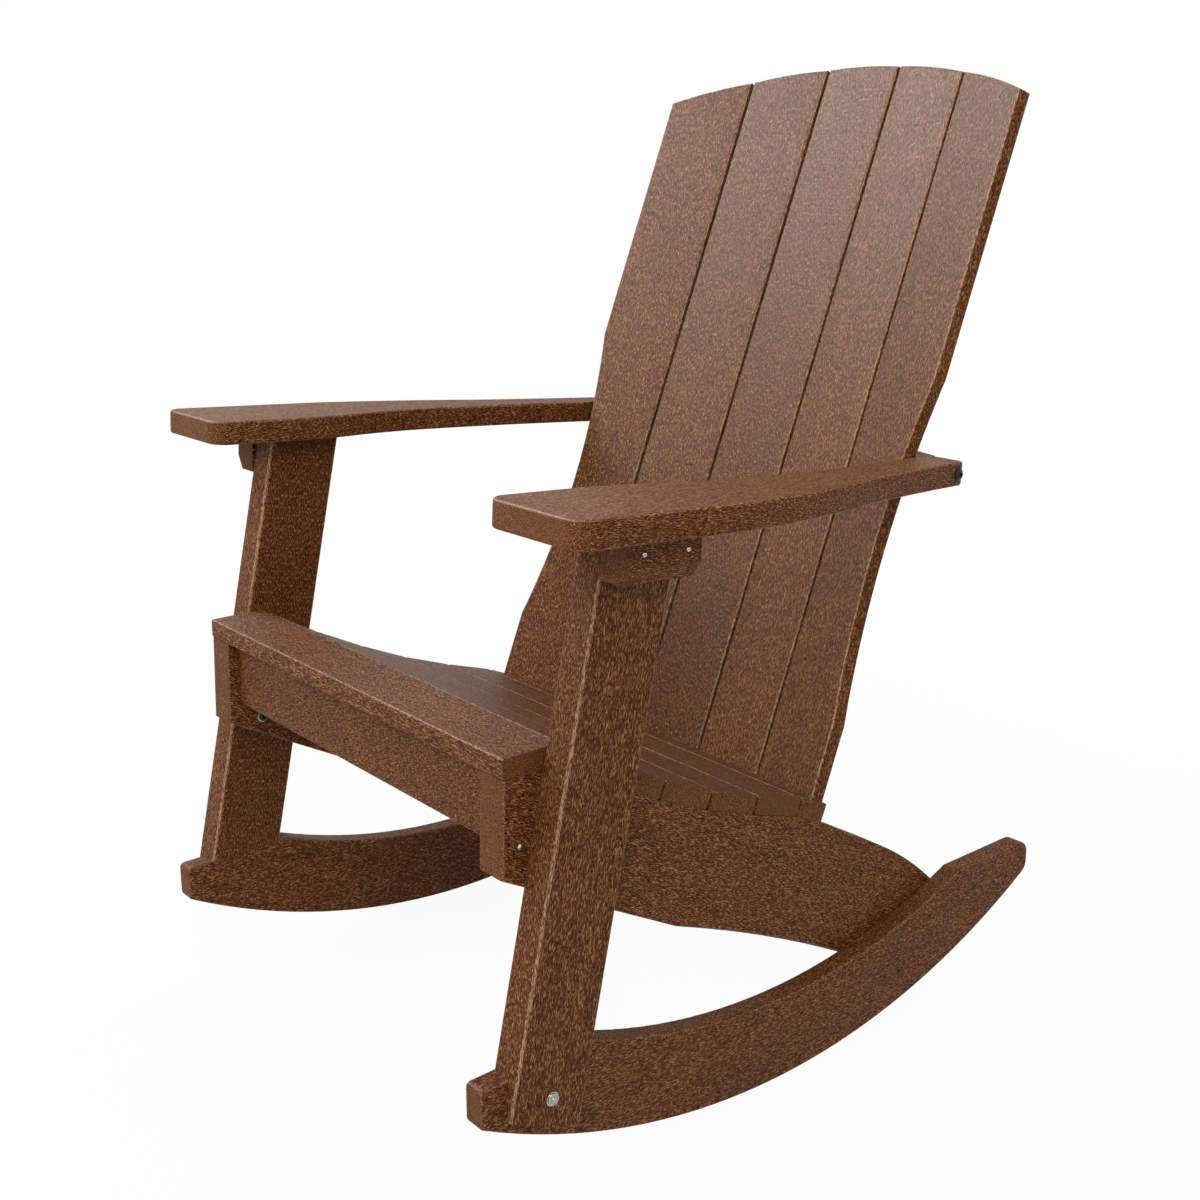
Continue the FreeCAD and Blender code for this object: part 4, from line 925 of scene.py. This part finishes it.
def floor_material():
    """Pale floor that keeps a soft shadow near the chair and runs out into white."""
    material = bpy.data.materials.new("Studio floor")
    material.use_nodes = True
    tree = material.node_tree
    tree.nodes.clear()
    paint = add_node(tree, "ShaderNodeBsdfDiffuse", (0, 100))
    paint.inputs["Color"].default_value = opaque(FLOOR_PAINT)
    white = add_node(tree, "ShaderNodeEmission", (0, -100))
    white.inputs["Color"].default_value = opaque(WHITE)
    white.inputs["Strength"].default_value = 1.0
    coordinates = add_node(tree, "ShaderNodeTexCoord", (-900, -300))
    distance = add_node(tree, "ShaderNodeVectorMath", (-700, -300), operation="LENGTH")
    tree.links.new(coordinates.outputs["Object"], distance.inputs[0])
    reach = ranged(tree, distance.outputs["Value"], (-500, -300), WHITE_REACH, WHITE_SHARE)
    share = combined(tree, "MULTIPLY", seen_directly(tree, (-900, 0)), reach, (-200, -200))
    blend = add_node(tree, "ShaderNodeMixShader", (250, 0))
    tree.links.new(share, blend.inputs["Fac"])
    tree.links.new(paint.outputs["BSDF"], blend.inputs[1])
    tree.links.new(white.outputs["Emission"], blend.inputs[2])
    result = add_node(tree, "ShaderNodeOutputMaterial", (450, 0))
    tree.links.new(blend.outputs["Shader"], result.inputs["Surface"])
    return material


def add_floor(radius):
    """Round floor just under the rockers, which is stage and no part of the chair."""
    deselect_all()
    bpy.ops.mesh.primitive_circle_add(vertices=FLOOR_SIDES, radius=radius, fill_type="NGON")
    floor = bpy.context.object
    floor.name = "studio_floor"
    lift(FLOOR_DROP)
    floor.data.materials.append(floor_material())


def add_softbox(box, power):
    """A rectangular softbox that faces a point."""
    deselect_all()
    bpy.ops.object.light_add(type="AREA", location=box.place)
    lamp = bpy.context.object
    lamp.name = f"{box.name}_softbox"
    lamp.rotation_euler = (Vector(box.target) - Vector(box.place)).to_track_quat("-Z", "Y").to_euler()
    lamp.data.shape = "RECTANGLE"
    lamp.data.size, lamp.data.size_y = box.size
    lamp.data.energy = power
    lamp.visible_glossy = box.in_gloss
    lamp.visible_diffuse = box.on_matt


def add_camera(studio):
    """The camera at the photograph's viewing angle."""
    deselect_all()
    bpy.ops.object.camera_add(location=CAMERA_PLACE, rotation=CAMERA_TURN)
    camera = bpy.context.object
    camera.rotation_euler.rotate_axis("Z", CAMERA_ROLL)
    camera.data.sensor_width = SENSOR_WIDTH
    camera.data.lens = studio.lens
    camera.data.shift_y = studio.frame_shift
    bpy.context.scene.camera = camera


class CHAIR_OT_studio(bpy.types.Operator):
    """Set up the floor, the soft light and the camera"""

    bl_idname = "rocking_chair.studio"
    bl_label = "Studio"

    def execute(self, context):
        studio = context.scene.rocking_chair_studio
        context.scene.view_settings.view_transform = "Standard"
        studio_world(studio.surrounding_light)
        add_floor(studio.floor_radius)
        for box in SOFTBOXES:
            add_softbox(box, getattr(studio, f"{box.name}_power"))
        add_camera(studio)
        return {"FINISHED"}


STEPS = (
    CHAIR_OT_studio,
    CHAIR_OT_finish_boards,
    CHAIR_OT_rocker_bolts,
    CHAIR_OT_arm_bolts,
    CHAIR_OT_rail_bolts,
    CHAIR_OT_face_screws,
    CHAIR_OT_hidden_screws,
)


class CHAIR_PT_panel(bpy.types.Panel):
    """Sizes, colours and steps of the rocking chair"""

    bl_idname = "CHAIR_PT_panel"
    bl_label = "Rocking Chair"
    bl_space_type = "VIEW_3D"
    bl_region_type = "UI"
    bl_category = "Rocking Chair"

    def draw(self, context):
        scene = context.scene
        groups = (scene.rocking_chair_boards, scene.rocking_chair_hardware, scene.rocking_chair_studio)
        for settings in groups:
            box = self.layout.box()
            for name in settings.__annotations__:
                box.prop(settings, name)
        for step in STEPS:
            self.layout.operator(step.bl_idname)


CLASSES = (BoardFinish, HardwareSizes, StudioSettings, *STEPS, CHAIR_PT_panel)


def register():
    """Register the classes and hang the settings on the scene."""
    for each in CLASSES:
        bpy.utils.register_class(each)
    bpy.types.Scene.rocking_chair_boards = PointerProperty(type=BoardFinish)
    bpy.types.Scene.rocking_chair_hardware = PointerProperty(type=HardwareSizes)
    bpy.types.Scene.rocking_chair_studio = PointerProperty(type=StudioSettings)


def unregister():
    """Take the settings and classes away again."""
    del bpy.types.Scene.rocking_chair_studio
    del bpy.types.Scene.rocking_chair_hardware
    del bpy.types.Scene.rocking_chair_boards
    for each in reversed(CLASSES):
        bpy.utils.unregister_class(each)


def main():
    """Build the chair's looks step by step."""
    register()
    bpy.ops.rocking_chair.studio()
    bpy.ops.rocking_chair.finish_boards()
    bpy.ops.rocking_chair.rocker_bolts()
    bpy.ops.rocking_chair.arm_bolts()
    bpy.ops.rocking_chair.rail_bolts()
    bpy.ops.rocking_chair.face_screws()
    bpy.ops.rocking_chair.hidden_screws()


if __name__ == "__main__":
    main()
